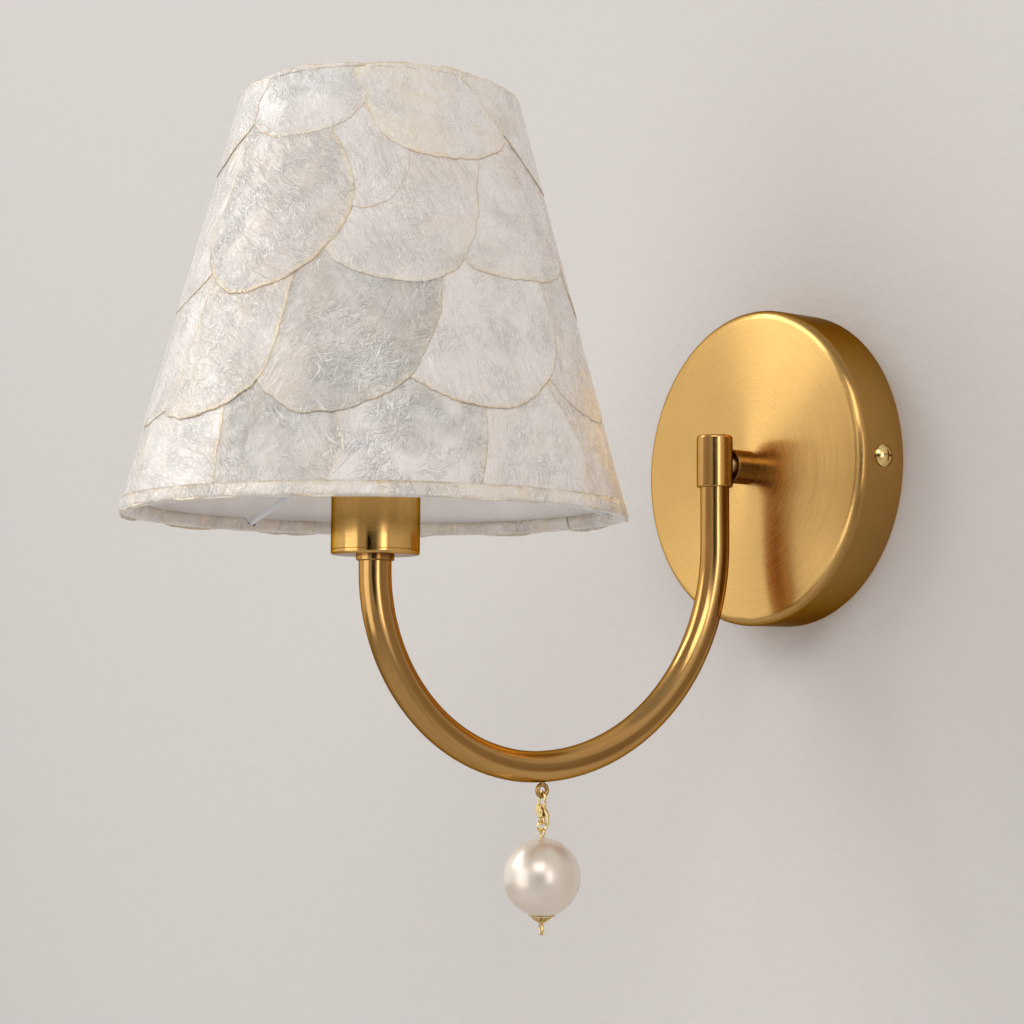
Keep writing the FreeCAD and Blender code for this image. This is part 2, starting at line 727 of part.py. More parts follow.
def lampholder_cap():
    room = size("holder_radius") - 1.8
    floor = holder_bottom + size("holder_cap_floor")
    return turned("lampholder_cap", (
        (thread_hole, holder_bottom), (size("holder_radius"), holder_bottom),
        (size("holder_radius"), size("holder_split")), (room, size("holder_split")),
        (room, floor), (thread_hole, floor)), (0, cup_y, 0))


def lampholder_body():
    radius, thread = size("holder_radius"), thread_radius
    bottom = size("holder_split") + seat_gap
    points = [(0, bottom), (radius, bottom), (radius, size("cup_top"))]
    for turn in range(7):
        start = size("cup_top") + size("thread_pitch") * turn
        points.append((thread, start + 0.2))
        points.append((thread, start + size("thread_pitch") / 2))
        points.append((thread - size("thread_depth"), start + size("thread_pitch") - 0.2))
    points += [
        (radius - 0.4, size("holder_top")), (size("holder_bore"), size("holder_top")),
        (size("holder_bore"), size("holder_floor")), (0, size("holder_floor"))]
    return turned("lampholder_body", points, (0, cup_y, 0))


def lampholder_thread_shell():
    outer = size("socket_radius")
    bottom = size("holder_floor") + seat_gap
    return ring_upright(
        "lampholder_thread_shell", outer, outer - size("socket_sheet"), bottom,
        size("holder_top") - 2.5)


def lampholder_contact():
    bottom = size("holder_floor") + seat_gap
    return cylinder(
        "lampholder_contact", size("contact_radius"), size("contact_height"), (0, cup_y, bottom))


# Shade -----------------------------------------------------------------------------

fitter_bottom = size("cup_top") + seat_gap
fitter_top = fitter_bottom + size("fitter_sheet")
low_ring_z = size("shade_low") + size("hem_sheet") + 0.3 + size("low_ring_wire")
low_ring_radius = (
    liner_radius(low_ring_z) - size("liner_sheet") - size("shell_gap") - size("low_ring_wire"))


def spoke(name, radius, direction):
    """A straight wire from the lower ring up to the fitter ring."""
    start = fitter_radius - 1.6
    middle = (fitter_bottom + fitter_top) / 2
    across = low_ring_radius - start
    drop = middle - low_ring_z
    tilt = 90 + math.degrees(math.atan2(drop.value, across.value))
    turn = Rotation(Vector(0, 0, 1), direction) * Rotation(Vector(0, 1, 0), tilt)
    sine, cosine = math.sin(math.radians(direction)), math.cos(math.radians(direction))
    return cylinder(
        name, radius, square_root(across * across + drop * drop),
        (start * cosine, cup_y + start * sine, middle), turn)


def shade_frame():
    hole = thread_radius + slip
    ring = ring_upright("fitter_ring", fitter_radius, hole, fitter_bottom, fitter_top)
    lower = torus("lower_ring", low_ring_radius, size("low_ring_wire"), (0, cup_y, low_ring_z))
    pieces = [ring, lower]
    for number, direction in enumerate(SPOKE_DIRECTIONS, start=1):
        pieces.append(spoke("spoke_%d" % number, size("spoke_radius"), direction))
    welded = fuse("shade_frame_welded", pieces)
    bore = cylinder("shade_frame_bore", hole, 6, (0, cup_y, fitter_bottom - 2))
    return cut("shade_frame", welded, bore)


def shade_clamp_ring():
    outer, bottom = clamp_radius, fitter_top + seat_gap
    ring = ring_upright(
        "shade_clamp_ring", outer, thread_radius + slip, bottom,
        bottom + size("clamp_height"))
    round_edges(
        ring, "shade_clamp_ring_round", 0.6,
        lambda centre, radius: near(radius, outer.value))
    return ring


def shade_top_ring():
    height = size("shade_high") - size("hem_sheet") - 0.2 - size("high_ring_wire")
    radius = (
        liner_radius(height) - size("liner_sheet") - size("shell_gap") - size("high_ring_wire"))
    return torus("shade_top_ring", radius, size("high_ring_wire"), (0, cup_y, height))


def shade_liner():
    low = size("shade_low") + size("hem_sheet") + size("shell_gap")
    high = size("shade_high") - size("hem_sheet") - size("shell_gap")
    thick = size("liner_sheet")
    return turned("shade_liner", (
        (liner_radius(low) - thick, low), (liner_radius(low), low),
        (liner_radius(high), high), (liner_radius(high) - thick, high)), (0, cup_y, 0))


def hem(name, edge, way, height, inside_height, outer_gap, inner_gap):
    """A channel folded over an edge of the shade; way is +1 upwards and -1 downwards."""
    thick = size("hem_sheet")
    fold = edge + way * thick
    outer_end, inner_end = edge + way * height, edge + way * inside_height
    return turned(name, (
        (liner_radius(outer_end) + outer_gap + thick, outer_end),
        (liner_radius(edge) + outer_gap + thick, edge),
        (liner_radius(edge) - inner_gap - thick, edge),
        (liner_radius(inner_end) - inner_gap - thick, inner_end),
        (liner_radius(inner_end) - inner_gap, inner_end),
        (liner_radius(fold) - inner_gap, fold),
        (liner_radius(fold) + outer_gap, fold),
        (liner_radius(outer_end) + outer_gap, outer_end)), (0, cup_y, 0))


def shade_bottom_hem():
    inner_gap = size("liner_sheet") + 2 * size("low_ring_wire") + 3 * size("shell_gap")
    channel = hem(
        "bottom_hem_channel", size("shade_low"), 1, size("low_hem_height"),
        size("low_hem_inside"), layer_seat, inner_gap)
    notches = []
    for number, direction in enumerate(SPOKE_DIRECTIONS, start=1):
        notches.append(spoke("notch_%d" % number, size("spoke_radius") + 3 * slip, direction))
    return cut("shade_bottom_hem", channel, fuse("hem_notches", notches))


def shade_top_hem():
    outer_gap = size("top_row_lift") + size("shell_sheet") + size("shell_gap")
    inner_gap = size("liner_sheet") + 2 * size("high_ring_wire") + 3 * size("shell_gap")
    return hem(
        "shade_top_hem", size("shade_high"), -1, size("high_hem_height"),
        size("high_hem_height"), outer_gap, inner_gap)


def shell_row(number):
    """One row of shell pieces that lies over the row below like roof tiles."""
    row = ROWS[number]
    name, count, first = "shells_" + row, ROW_COUNTS[row], ROW_DIRECTIONS[row]
    low, high = size(row + "_row_low"), size(row + "_row_high")
    lift = size("top_row_lift") if row == "top" else size("shell_gap")
    if row == "bottom":
        low_lift = lift
    else:
        next_high = size(ROWS[number + 1] + "_row_high")
        low_lift = lift + (layer_seat - lift) * (high - low) / (high - next_high)
    inner_low, inner_high = liner_radius(low) + low_lift, liner_radius(high) + lift
    thick = size("shell_sheet")
    layer = turned(name + "_layer", (
        (inner_low, low), (inner_low + thick, low),
        (inner_high + thick, high), (inner_high, high)), (0, cup_y, 0))
    gap = math.degrees((size("joint_gap") / inner_low).value)
    spread = 360.0 / count - gap
    pieces = []
    for index in range(count):
        direction = first + index * 360.0 / count
        tag = "%s_%d" % (name, index + 1)
        parts = [layer, primitive(
            "Cylinder", tag + "_sector",
            {"Radius": inner_low + 6, "Height": high - low + 2, "Angle": spread},
            (0, cup_y, low - 1), Rotation(Vector(0, 0, 1), direction - spread / 2))]
        if row != "bottom":
            outline = size(row + "_row_round")
            turn = Rotation(Vector(0, 0, 1), direction) * SIDEWAYS
            parts.append(cylinder(
                tag + "_disc", outline, inner_low + 6, (0, cup_y, low + outline), turn))
        pieces.append(common(tag, parts))
    return group(name, pieces)


# Lamp ------------------------------------------------------------------------------

def bulb_glass():
    wall = size("globe_wall")
    bottom, top = size("neck_bottom") + seat_gap, size("neck_top")
    shapes = []
    for tag, inset in (("outside", as_size(0)), ("inside", wall)):
        globe = primitive(
            "Sphere", "globe_" + tag, {"Radius": size("globe_radius") - inset},
            (0, cup_y, size("globe_centre")))
        neck = primitive("Cone", "neck_" + tag, {
            "Radius1": size("neck_low_radius") - inset,
            "Radius2": size("neck_high_radius") - inset, "Height": top - bottom},
            (0, cup_y, bottom))
        shapes.append(fuse("bulb_" + tag, [globe, neck]))
    return cut("bulb_glass", shapes[0], shapes[1])


def bulb_cap():
    outer, thick = size("cap_radius"), size("cap_sheet")
    root = outer - size("cap_groove")
    bottom, pitch = size("cap_bottom"), size("cap_pitch")
    points = [(root - 1.5, bottom)]
    for turn in range(7):
        start = bottom + 1 + pitch * turn
        points.append((root, start))
        points.append((outer, start + pitch / 2))
    end = bottom + 1 + pitch * 7
    points += [
        (root, end), (size("neck_low_radius"), size("neck_bottom") - 1),
        (size("neck_low_radius"), size("neck_bottom")),
        (root - thick - 0.6, size("neck_bottom")), (root - thick - 0.6, bottom + 1),
        (root - 2, bottom + 1), (root - 2, bottom)]
    return turned("bulb_cap", points, (0, cup_y, 0))


def bulb_insulator():
    top = size("cap_bottom") - seat_gap
    wide = size("cap_radius") - size("cap_groove") - 1.5
    return primitive("Cone", "bulb_insulator", {
        "Radius1": size("button_radius") + 0.4, "Radius2": wide, "Height": 2},
        (0, cup_y, top - 2))


def bulb_contact():
    top = size("cap_bottom") - 2 * seat_gap - 2
    return cylinder(
        "bulb_contact", size("button_radius"), size("button_height"),
        (0, cup_y, top - size("button_height")))


def bulb_stem():
    bottom = size("cap_bottom") + seat_gap
    post = cylinder(
        "bulb_stem_post", size("stem_radius"), size("stem_top") - bottom, (0, cup_y, bottom))
    flare = primitive("Cone", "bulb_stem_flare", {
        "Radius1": size("stem_radius"), "Radius2": size("filament_ring") + 1.2, "Height": 3},
        (0, cup_y, size("stem_top") - 3))
    foot = cylinder("bulb_stem_foot", size("cap_radius") - 1.8, 2, (0, cup_y, size("neck_bottom") - 4))
    return fuse("bulb_stem", [post, flare, foot])


def bulb_filaments():
    rods = []
    for index in range(4):
        angle = math.radians(90 * index + 45)
        rods.append(cylinder(
            "filament_%d" % (index + 1), size("filament_radius"), size("filament_length"),
            (size("filament_ring") * math.cos(angle),
             cup_y + size("filament_ring") * math.sin(angle), size("stem_top") + seat_gap)))
    return group("bulb_filaments", rods)


# Pendant ---------------------------------------------------------------------------

ACROSS = Rotation(Vector(0, 1, 0), 90)
FACING = Rotation(Vector(1, 0, 0), 90)
pendant_y = size("pendant_y")


def hanging_eye():
    loop = torus("eye_loop", size("eye_mean"), size("eye_wire"), (0, pendant_y, eye_centre), ACROSS)
    wall = size("tube_radius") - size("tube_bore")
    stem = cylinder(
        "eye_stem", size("eye_stem"), wall + size("eye_wire"),
        (0, pendant_y, eye_centre + size("eye_mean")))
    return fuse("hanging_eye", [loop, stem])


def clasp_body():
    hook = torus(
        "clasp_hook", size("hook_mean"), size("hook_wire"), (0, pendant_y, hook_centre),
        FACING * Rotation(Vector(0, 0, 1), -25), 205.0)
    leg = cylinder(
        "clasp_leg", size("hook_wire"), hook_centre - size("rivet_z") - 1,
        (-size("hook_mean"), pendant_y, size("rivet_z") + 1))
    level = size("rivet_z")
    plate = padded("clasp_plate", (
        (-2.5, level + 2.0), (-1.3, level + 2.2), (0.4, level + 1.5), (1.5, level + 0.5),
        (1.4, level - 1.4), (0.9, level - 2.2), (-0.9, level - 2.2), (-1.9, level - 1.2),
        (-2.5, level + 0.6)), size("clasp_thick"), (0, pendant_y, 0))
    tail = torus(
        "clasp_tail", size("tail_mean"), size("tail_wire"),
        (0, pendant_y, size("tail_land") + size("tail_mean")), FACING)
    solid = fuse("clasp_solid", [hook, leg, plate, tail])
    slot = box(
        "clasp_slot", 4.2, 4.0, size("lever_thick") + 4 * slip,
        (1.2, pendant_y + size("lever_thick") / 2 + 2 * slip, level + 0.5), FORWARD)
    hole = cylinder(
        "clasp_rivet_hole", size("rivet_radius") + slip, 6,
        (size("rivet_x"), pendant_y + 3, level), FORWARD)
    return cut("clasp_body", solid, fuse("clasp_voids", [slot, hole]))


def clasp_lever():
    level = size("rivet_z")
    blade = padded("clasp_blade", (
        (-0.4, level + 0.6), (0.75, level + 1.9), (1.25, level + 3.5), (2.2, level + 3.05),
        (2.0, level + 1.6), (1.9, level + 0.7), (3.1, level + 0.2), (3.9, level - 0.9),
        (4.1, level - 4.5), (3.4, level - 4.6), (3.2, level - 1.3), (2.3, level - 0.6),
        (0.5, level - 0.9), (-0.4, level - 0.5)), size("lever_thick"), (0, pendant_y, 0))
    hole = cylinder(
        "clasp_lever_hole", size("rivet_radius") + slip, 4,
        (size("rivet_x"), pendant_y + 2, level), FORWARD)
    return cut("clasp_lever", blade, hole)


def clasp_rivet():
    half = size("clasp_thick") / 2 + seat_gap
    head = 0.35
    shank = cylinder(
        "rivet_shank", size("rivet_radius"), 2 * half,
        (size("rivet_x"), pendant_y + half, size("rivet_z")), FORWARD)
    heads = []
    for tag, back in (("front", -half), ("back", half + head)):
        heads.append(cylinder(
            "rivet_head_" + tag, size("rivet_head"), head,
            (size("rivet_x"), pendant_y + back, size("rivet_z")), FORWARD))
    return fuse("clasp_rivet", [shank] + heads)


def jump_ring():
    return torus(
        "jump_ring", size("ring_mean"), size("ring_wire"), (0, pendant_y, ring_centre), ACROSS)


def pearl():
    ball = primitive(
        "Sphere", "pearl_ball", {"Radius": size("pearl_radius")}, (0, pendant_y, pearl_centre))
    bore = cylinder(
        "pearl_bore", size("pearl_bore"), 2 * size("pearl_radius") + 2,
        (0, pendant_y, pearl_centre - size("pearl_radius") - 1))
    return cut("pearl", ball, bore)


cap_low = pearl_centre - size("pearl_radius") - 2.1


def bead_cap():
    cone = primitive("Cone", "bead_cap_cone", {
        "Radius1": 1.1, "Radius2": size("bead_cap_radius"), "Height": size("bead_cap_height")},
        (0, pendant_y, cap_low))
    hollow = primitive(
        "Sphere", "bead_cap_hollow", {"Radius": size("pearl_radius") + seat_gap},
        (0, pendant_y, pearl_centre))
    bore = cylinder("bead_cap_bore", size("pin_wire") + slip, 6, (0, pendant_y, cap_low - 1))
    return cut("bead_cap", cone, fuse("bead_cap_voids", [hollow, bore]))


def pearl_pin():
    upper = torus("pin_upper", size("pin_loop"), size("pin_wire"), (0, pendant_y, pin_centre), FACING)
    low_centre = cap_low - seat_gap - size("end_loop") - size("pin_wire")
    lower = torus(
        "pin_lower", size("end_loop"), size("pin_wire"), (0, pendant_y, low_centre),
        Rotation(Vector(0, 0, 1), VALUES["end_turn"]) * FACING)
    bottom = low_centre + size("end_loop")
    wire = cylinder(
        "pin_wire_straight", size("pin_wire"), pin_centre - size("pin_loop") - bottom,
        (0, pendant_y, bottom))
    return fuse("pearl_pin", [upper, lower, wire])


NODES = [
    mounting_bracket(), side_screws(), earth_screw(), terminal_block(), terminal_screws(),
    canopy(), hollow_rod(), lock_washer(), lock_nut(), standoff(), elbow(), arm_tube(),
    lead("lead_live", 1), lead("lead_neutral", -1), arm_collar(), cup_rod(), socket_cup(),
    lampholder_cap(), lampholder_body(), lampholder_thread_shell(), lampholder_contact(),
    shade_frame(), shade_clamp_ring(), shade_top_ring(), shade_liner(),
    shade_bottom_hem(), shade_top_hem(),
]
NODES += [shell_row(number) for number in range(len(ROWS))]
NODES += [
    bulb_glass(), bulb_cap(), bulb_insulator(), bulb_contact(), bulb_stem(), bulb_filaments(),
    hanging_eye(), clasp_body(), clasp_lever(), clasp_rivet(), jump_ring(), pearl(),
    bead_cap(), pearl_pin(),
]

doc.recompute()

for thing in doc.Objects:
    if "Invalid" in thing.State or "Error" in thing.State:
        raise RuntimeError("%s did not compute: %s" % (thing.Name, thing.State))

os.makedirs("parts", exist_ok=True)
for node in NODES:
    if node.Shape.isNull() or not node.Shape.isValid() or not node.Shape.Solids:
        raise RuntimeError("%s has no valid solid" % node.Label)
    node.Shape.exportStep("parts/%s.step" % node.Label)
    print("%-26s %2d solids %10.2f mm3" % (node.Label, len(node.Shape.Solids), node.Shape.Volume))
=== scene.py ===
import math
import random

import bpy
from mathutils import Matrix, Vector, noise


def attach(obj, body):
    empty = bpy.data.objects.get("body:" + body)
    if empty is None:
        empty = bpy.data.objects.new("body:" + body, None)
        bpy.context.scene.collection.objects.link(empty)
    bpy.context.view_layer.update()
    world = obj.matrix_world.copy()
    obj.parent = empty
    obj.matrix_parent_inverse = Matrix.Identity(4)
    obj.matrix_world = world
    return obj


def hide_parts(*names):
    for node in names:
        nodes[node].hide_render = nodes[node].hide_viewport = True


# The looks of a wall sconce with a shell shade. The CAD nodes carry the metalwork; this
# script gives them their finishes and replaces the shell rows, hems, rod, clasp, rings and
# bead cap with finer pieces. Lengths in the helpers are millimetres and turn into metres
# when a mesh is made.

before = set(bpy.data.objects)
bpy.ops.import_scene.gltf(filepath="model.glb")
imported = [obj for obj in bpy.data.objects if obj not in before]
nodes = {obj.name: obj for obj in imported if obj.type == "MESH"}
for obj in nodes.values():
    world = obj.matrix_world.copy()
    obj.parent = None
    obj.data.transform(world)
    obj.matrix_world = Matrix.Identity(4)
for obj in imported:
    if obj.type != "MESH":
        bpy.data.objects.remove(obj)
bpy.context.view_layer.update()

MM = 0.001
# how far out these stand
ELBOW_Y, PENDANT_Y, CUP_Y = -37.0, -115.5, -183.0
# heights of the shade's edges, and the liner's radius at each
SHADE_LOW, SHADE_HIGH = -27.5, 110.0
LINER_LOW, LINER_HIGH = 82.5, 46.1


# Mesh helpers --------

def add_to_scene(name, data):
    thing = bpy.data.objects.new(name, data)
    bpy.context.scene.collection.objects.link(thing)
    return thing


def make_object(name, points, faces, body, replaced, material):
    """A smooth mesh object, given in millimetres, that stands for CAD nodes."""
    mesh = bpy.data.meshes.new(name)
    mesh.from_pydata([Vector(point) * MM for point in points], [], faces, shade_flat=False)
    mesh.update()
    thing = add_to_scene(name, mesh)
    mesh.materials.append(material)
    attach(thing, body)
    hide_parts(*replaced)
    return thing


def add_attributes(thing, **attributes):
    """A vector for each vertex, which the materials read as coordinates and masks."""
    for name, values in attributes.items():
        made = thing.data.attributes.new(name, "FLOAT_VECTOR", "POINT")
        made.data.foreach_set("vector", [number for value in values for number in value])


def round_upright(radius, turn, centre_y, height):
    """A point by its distance and direction from an upright axis."""
    return (radius * math.cos(turn), centre_y + radius * math.sin(turn), height)


def band_faces(rings, size, closed=False):
    """Quads between rings of points, each closed in itself; closed joins last and first."""
    faces = []
    for ring in range(rings if closed else rings - 1):
        low, high = ring * size, (ring + 1) % rings * size
        for place in range(size):
            after = (place + 1) % size
            faces.append((low + place, low + after, high + after, high + place))
    return faces


class Builder:
    """Collects the points and faces of several solids that share one object."""

    def __init__(self):
        self.points, self.faces = [], []

    def add(self, points, faces):
        start = len(self.points)
        self.points += points
        self.faces += [tuple(start + index for index in face) for face in faces]

    def tube(self, path, radii, sides=16, closed=False):
        """A round bar along a path, with its frame carried along smoothly."""
        path = [Vector(point) for point in path]
        count = len(path)
        radii = list(radii) if hasattr(radii, "__len__") else [radii] * count
        tangents = []
        for index in range(count):
            ahead = path[(index + 1) % count] if closed or index < count - 1 else path[index]
            behind = path[index - 1] if closed or index else path[index]
            tangents.append((ahead - behind).normalized())
        across = tangents[0].orthogonal().normalized()
        if abs(tangents[0].y) < 0.9:
            across = Vector((0, 1, 0))
        points = []
        for index in range(count):
            across = (across - tangents[index] * across.dot(tangents[index])).normalized()
            other = tangents[index].cross(across)
            for side in range(sides):
                turn = math.tau * side / sides
                points.append(
                    path[index] + across * (radii[index] * math.cos(turn))
                    + other * (radii[index] * math.sin(turn)))
        faces = band_faces(count, sides, closed)
        if not closed:
            faces.append(tuple(reversed(range(sides))))
            faces.append(tuple(range((count - 1) * sides, count * sides)))
        self.add(points, faces)

    def plate(self, outline, back, front):
        """A flat plate whose outline is x and z, between two distances in y."""
        count = len(outline)
        points = [(x, y, z) for y in (front, back) for x, z in outline]
        faces = [tuple(range(count)), tuple(reversed(range(count, 2 * count)))]
        for index in range(count):
            after = (index + 1) % count
            faces.append((after, index, count + index, count + after))
        self.add(points, faces)

    def lathe(self, profile, centre, axis="Z", steps=64):
        """A solid turned about an axis through the centre; profile is radius and height."""
        cx, cy, cz = centre
        points = []
        for radius, height in profile:
            for step in range(steps):
                turn = math.tau * step / steps
                a, b = radius * math.cos(turn), radius * math.sin(turn)
                points.append((cx + a, cy + b, cz + height) if axis == "Z"
                              else (cx + a, cy - height, cz + b))
        self.add(points, band_faces(len(profile), steps))

    def ball(self, centre, radius, steps):
        profile = [
            (radius * math.sin(math.pi * step / steps), -radius * math.cos(math.pi * step / steps))
            for step in range(1, steps)]
        profile = [(radius * 0.02, -radius)] + profile + [(radius * 0.02, radius)]
        self.lathe(profile, centre, steps=2 * steps)


def smooth_loop(points, count):
    """Evenly spaced points on a smooth closed line through the given ones."""
    dense, total, parts = [], len(points), 24
    for index in range(total):
        p0, p1, p2, p3 = (Vector(points[(index + shift) % total]) for shift in (-1, 0, 1, 2))
        for step in range(parts):
            t = step / parts
            dense.append(0.5 * (
                2 * p1 + (p2 - p0) * t + (2 * p0 - 5 * p1 + 4 * p2 - p3) * t * t
                + (3 * p1 - p0 - 3 * p2 + p3) * t * t * t))
    lengths = [0.0]
    for index in range(len(dense)):
        lengths.append(lengths[-1] + (dense[(index + 1) % len(dense)] - dense[index]).length)
    even, place = [], 0
    for index in range(count):
        wanted = lengths[-1] * index / count
        while lengths[place + 1] < wanted:
            place += 1
        share = (wanted - lengths[place]) / max(lengths[place + 1] - lengths[place], 1e-9)
        even.append(dense[place].lerp(dense[(place + 1) % len(dense)], share))
    return even


def arc(centre, radius, start, end, steps, plane="XZ"):
    """Points on an arc in an upright plane; the angles are in degrees."""
    cx, cy, cz = centre
    points = []
    for step in range(steps + 1):
        turn = math.radians(start + (end - start) * step / steps)
        a, b = radius * math.cos(turn), radius * math.sin(turn)
        points.append((cx + a, cy, cz + b) if plane == "XZ" else (cx, cy + a, cz + b))
    return points


# Material helpers --------

class Shading:
    """Short names for the usual nodes of a material or a world."""

    def __init__(self, tree):
        self.tree = tree

    def put(self, socket, value):
        if isinstance(value, bpy.types.NodeSocket):
            self.tree.links.new(value, socket)
        elif value is not None:
            if isinstance(value, tuple) and socket.type == "RGBA" and len(value) == 3:
                value = value + (1.0,)
            socket.default_value = value

    def node(self, kind, output, inputs=None, **settings):
        """One output of a new node. Inputs and output go by name or by number."""
        made = self.tree.nodes.new("ShaderNode" + kind)
        for name, value in settings.items():
            setattr(made, name, value)
        for key, value in (inputs or {}).items():
            self.put(made.inputs[key], value)
        return made.outputs[output]

    def math(self, operation, first, second=None, clamp=False):
        return self.node("Math", 0, {0: first, 1: second}, operation=operation, use_clamp=clamp)

    def plus(self, first, second, clamp=False):
        return self.math("ADD", first, second, clamp)

    def times(self, first, second):
        return self.math("MULTIPLY", first, second)

    def vector_math(self, operation, first, second=None):
        output = "Value" if operation in ("LENGTH", "DOT_PRODUCT") else "Vector"
        return self.node("VectorMath", output, {0: first, 1: second}, operation=operation)

    def mix(self, share, first, second, blend="MIX"):
        return self.node("Mix", 2, {"Factor": share, 6: first, 7: second},
                         data_type="RGBA", blend_type=blend)

    def fade(self, value, low, high, out_low=0.0, out_high=1.0):
        """out_low up to low, out_high from high on, and a soft passage between them."""
        return self.node("MapRange", "Result", {
            "Value": value, "From Min": low, "From Max": high,
            "To Min": out_low, "To Max": out_high}, interpolation_type="SMOOTHSTEP")

    def noise(self, vector, scale, detail=2.0, distortion=0.0, rough=0.5):
        return self.node("TexNoise", "Fac", {
            "Vector": vector, "Scale": scale, "Detail": detail, "Distortion": distortion,
            "Roughness": rough})

    def specks(self, where, scale, small, large, share, patches, low, high):
        """Small round spots at random places, kept only where a slow noise is high."""
        spots = self.node("TexVoronoi", "Distance", {"Vector": where, "Scale": scale})
        return self.times(self.fade(spots, small, large, share, 0.0),
                          self.fade(self.noise(where, patches, 0.0), low, high))

    def place(self):
        """Coordinates in metres, which move with the object."""
        return self.node("TexCoord", "Object")

    def read(self, name):
        return self.node("Attribute", "Vector", attribute_name=name)

    def split(self, vector):
        return tuple(self.node("SeparateXYZ", 0, {0: vector}).node.outputs)

    def join(self, x, y, z):
        return self.node("CombineXYZ", 0, {0: x, 1: y, 2: z})

    def reach(self, x, y, z):
        return self.vector_math("LENGTH", self.join(x, y, z))

    def turn(self, vector, angle, scale):
        """Turned about Z and then stretched."""
        turned = self.node("VectorRotate", 0, {"Vector": vector, "Angle": math.radians(angle)},
                           rotation_type="Z_AXIS")
        return self.vector_math("MULTIPLY", turned, scale)

    def bump(self, height, depth_mm, normal=None):
        """height runs over about 0 to 1, and depth_mm is how deep that is."""
        return self.node("Bump", 0, {
            "Strength": 1.0, "Distance": depth_mm * MM, "Height": height, "Normal": normal})


class Finish(Shading):
    """A Principled material under construction."""

    def __init__(self, name, **values):
        self.material = bpy.data.materials.new(name)
        self.material.use_nodes = True
        super().__init__(self.material.node_tree)
        self.shader = self.tree.nodes["Principled BSDF"]
        for key, value in values.items():
            self.shader.inputs[key.replace("_", " ")].default_value = value

    def set(self, **values):
        for key, value in values.items():
            self.put(self.shader.inputs[key.replace("_", " ")], value)
        return self.material


# what brass throws back at a grazing angle
EDGE_TINT = (0.36, 0.24, 0.13, 1.0)
PIT_TINT = (0.16, 0.10, 0.04)
# these three darken the brass where they lie over it: the patina tint is real, the flank and rim
# tints are painted shade
PATINA_TINT = (0.42, 0.35, 0.28)
FLANK_SHADE_TINT = (0.42, 0.33, 0.25)
RIM_SHADE_TINT = (0.62, 0.56, 0.50)
# metres from the arm's middle plane, on a tube of 5.4 mm radius, over which the painted flank shade
# fades in
FLANK_SHADE_START, FLANK_SHADE_END = 0.00506, 0.00536
PER_METRE = 1000.0


def brass(name, colour, rough, lines, brush_mm, rub, aniso=0.0, rim=None, patina_and_flank_shade=0.0):
    """Brushed brass. lines(finish, place) gives coordinates that change fast across the
    brush marks and slowly along them, in millimetres. rub is how much they change the shine,
    rim where painted shade darkens the brass, in metres from the Y axis, and patina how
    streaky it is; a set patina also adds a painted shade line along each flank."""
    made = Finish(name, Metallic=1.0, Anisotropic=aniso, Specular_Tint=EDGE_TINT)
    place = made.place()
    across = lines(made, place)
    marks = made.noise(across, 2.6, 3.0, 0.0, 0.65)
    coarse = made.noise(across, 0.8, 3.0, 0.0, 0.6)
    cloud = made.noise(place, 28.0, 3.0)
    dark = tuple(channel * 0.88 for channel in colour)
    pale = tuple(min(channel * 1.04, 1.0) for channel in colour)
    tint = made.mix(made.fade(cloud, 0.3, 0.7, 0.2, 0.8), dark, pale)
    tint = made.mix(made.fade(marks, 0.35, 0.75, 0.0, 0.5), tint, dark)
    tint = made.mix(made.fade(coarse, 0.42, 0.72, 0.0, 0.5), tint, dark)
    pits = made.specks(place, 130.0, 0.025, 0.045, 0.8, 40.0, 0.68, 0.70)
    tint = made.mix(pits, tint, PIT_TINT)
    if patina_and_flank_shade:
        # broad darker streaks along the brush marks, and a painted shade line along each flank of
        # the bent tube, standing in for the dark reflection that runs there
        streak = made.fade(made.noise(across, 0.20, 2.0), 0.42, 0.60, 0.0, patina_and_flank_shade)
        tint = made.mix(streak, tint, PATINA_TINT, "MULTIPLY")
        aside = made.math("ABSOLUTE", made.split(place)[0])
        painted_flank_shade = made.fade(aside, FLANK_SHADE_START, FLANK_SHADE_END, 0.0, 0.75)
        tint = made.mix(painted_flank_shade, tint, FLANK_SHADE_TINT, "MULTIPLY")
    if rim:
        # painted shade: the brass is darkened where the dish turns to its open side, standing in
        # for the darker reflection on the canopy's rim
        x, _, z = made.split(place)
        tint = made.mix(made.fade(made.reach(x, 0.0, z), *rim), tint, RIM_SHADE_TINT, "MULTIPLY")
    shine = made.plus(made.fade(marks, 0.25, 0.75, -rub, rub),
                      made.fade(coarse, 0.3, 0.7, -0.4 * rub, 0.4 * rub))
    height = made.plus(marks, made.times(coarse, 1.5))
    made.set(Base_Color=tint, Roughness=made.plus(rough, shine),
             Normal=made.bump(height, brush_mm))
    if aniso:
        round_y = made.node("Tangent", 0, direction_type="RADIAL", axis="Y")
        made.set(Tangent=round_y, Anisotropic_Rotation=0.25)
    return made.material


def about_y(made, place):
    """Brush marks that run round the Y axis, on a face or on a rim."""
    x, y, z = made.split(place)
    return made.join(
        made.times(made.reach(x, 0.0, z), PER_METRE), made.times(y, PER_METRE),
        made.times(made.math("ARCTAN2", z, x), 1.4))


def about_upright(centre_y):
    """Turning marks round an upright axis."""
    def lines(made, place):
        x, y, z = made.split(place)
        aside = made.math("SUBTRACT", y, centre_y * MM)
        return made.join(
            made.times(z, PER_METRE), made.times(made.reach(x, aside, 0.0), PER_METRE),
            made.times(made.math("ARCTAN2", aside, x), 0.8))
    return lines


# The arm's two bends, in metres: where they meet, the height of the centre and the radius
# under the shade, and how much higher and wider the bend on the canopy's side is.
ARM_LOW_Y, ARM_CENTRE_Z, ARM_RADIUS, ARM_WIDER = -0.117, -0.044, 0.066, 0.014


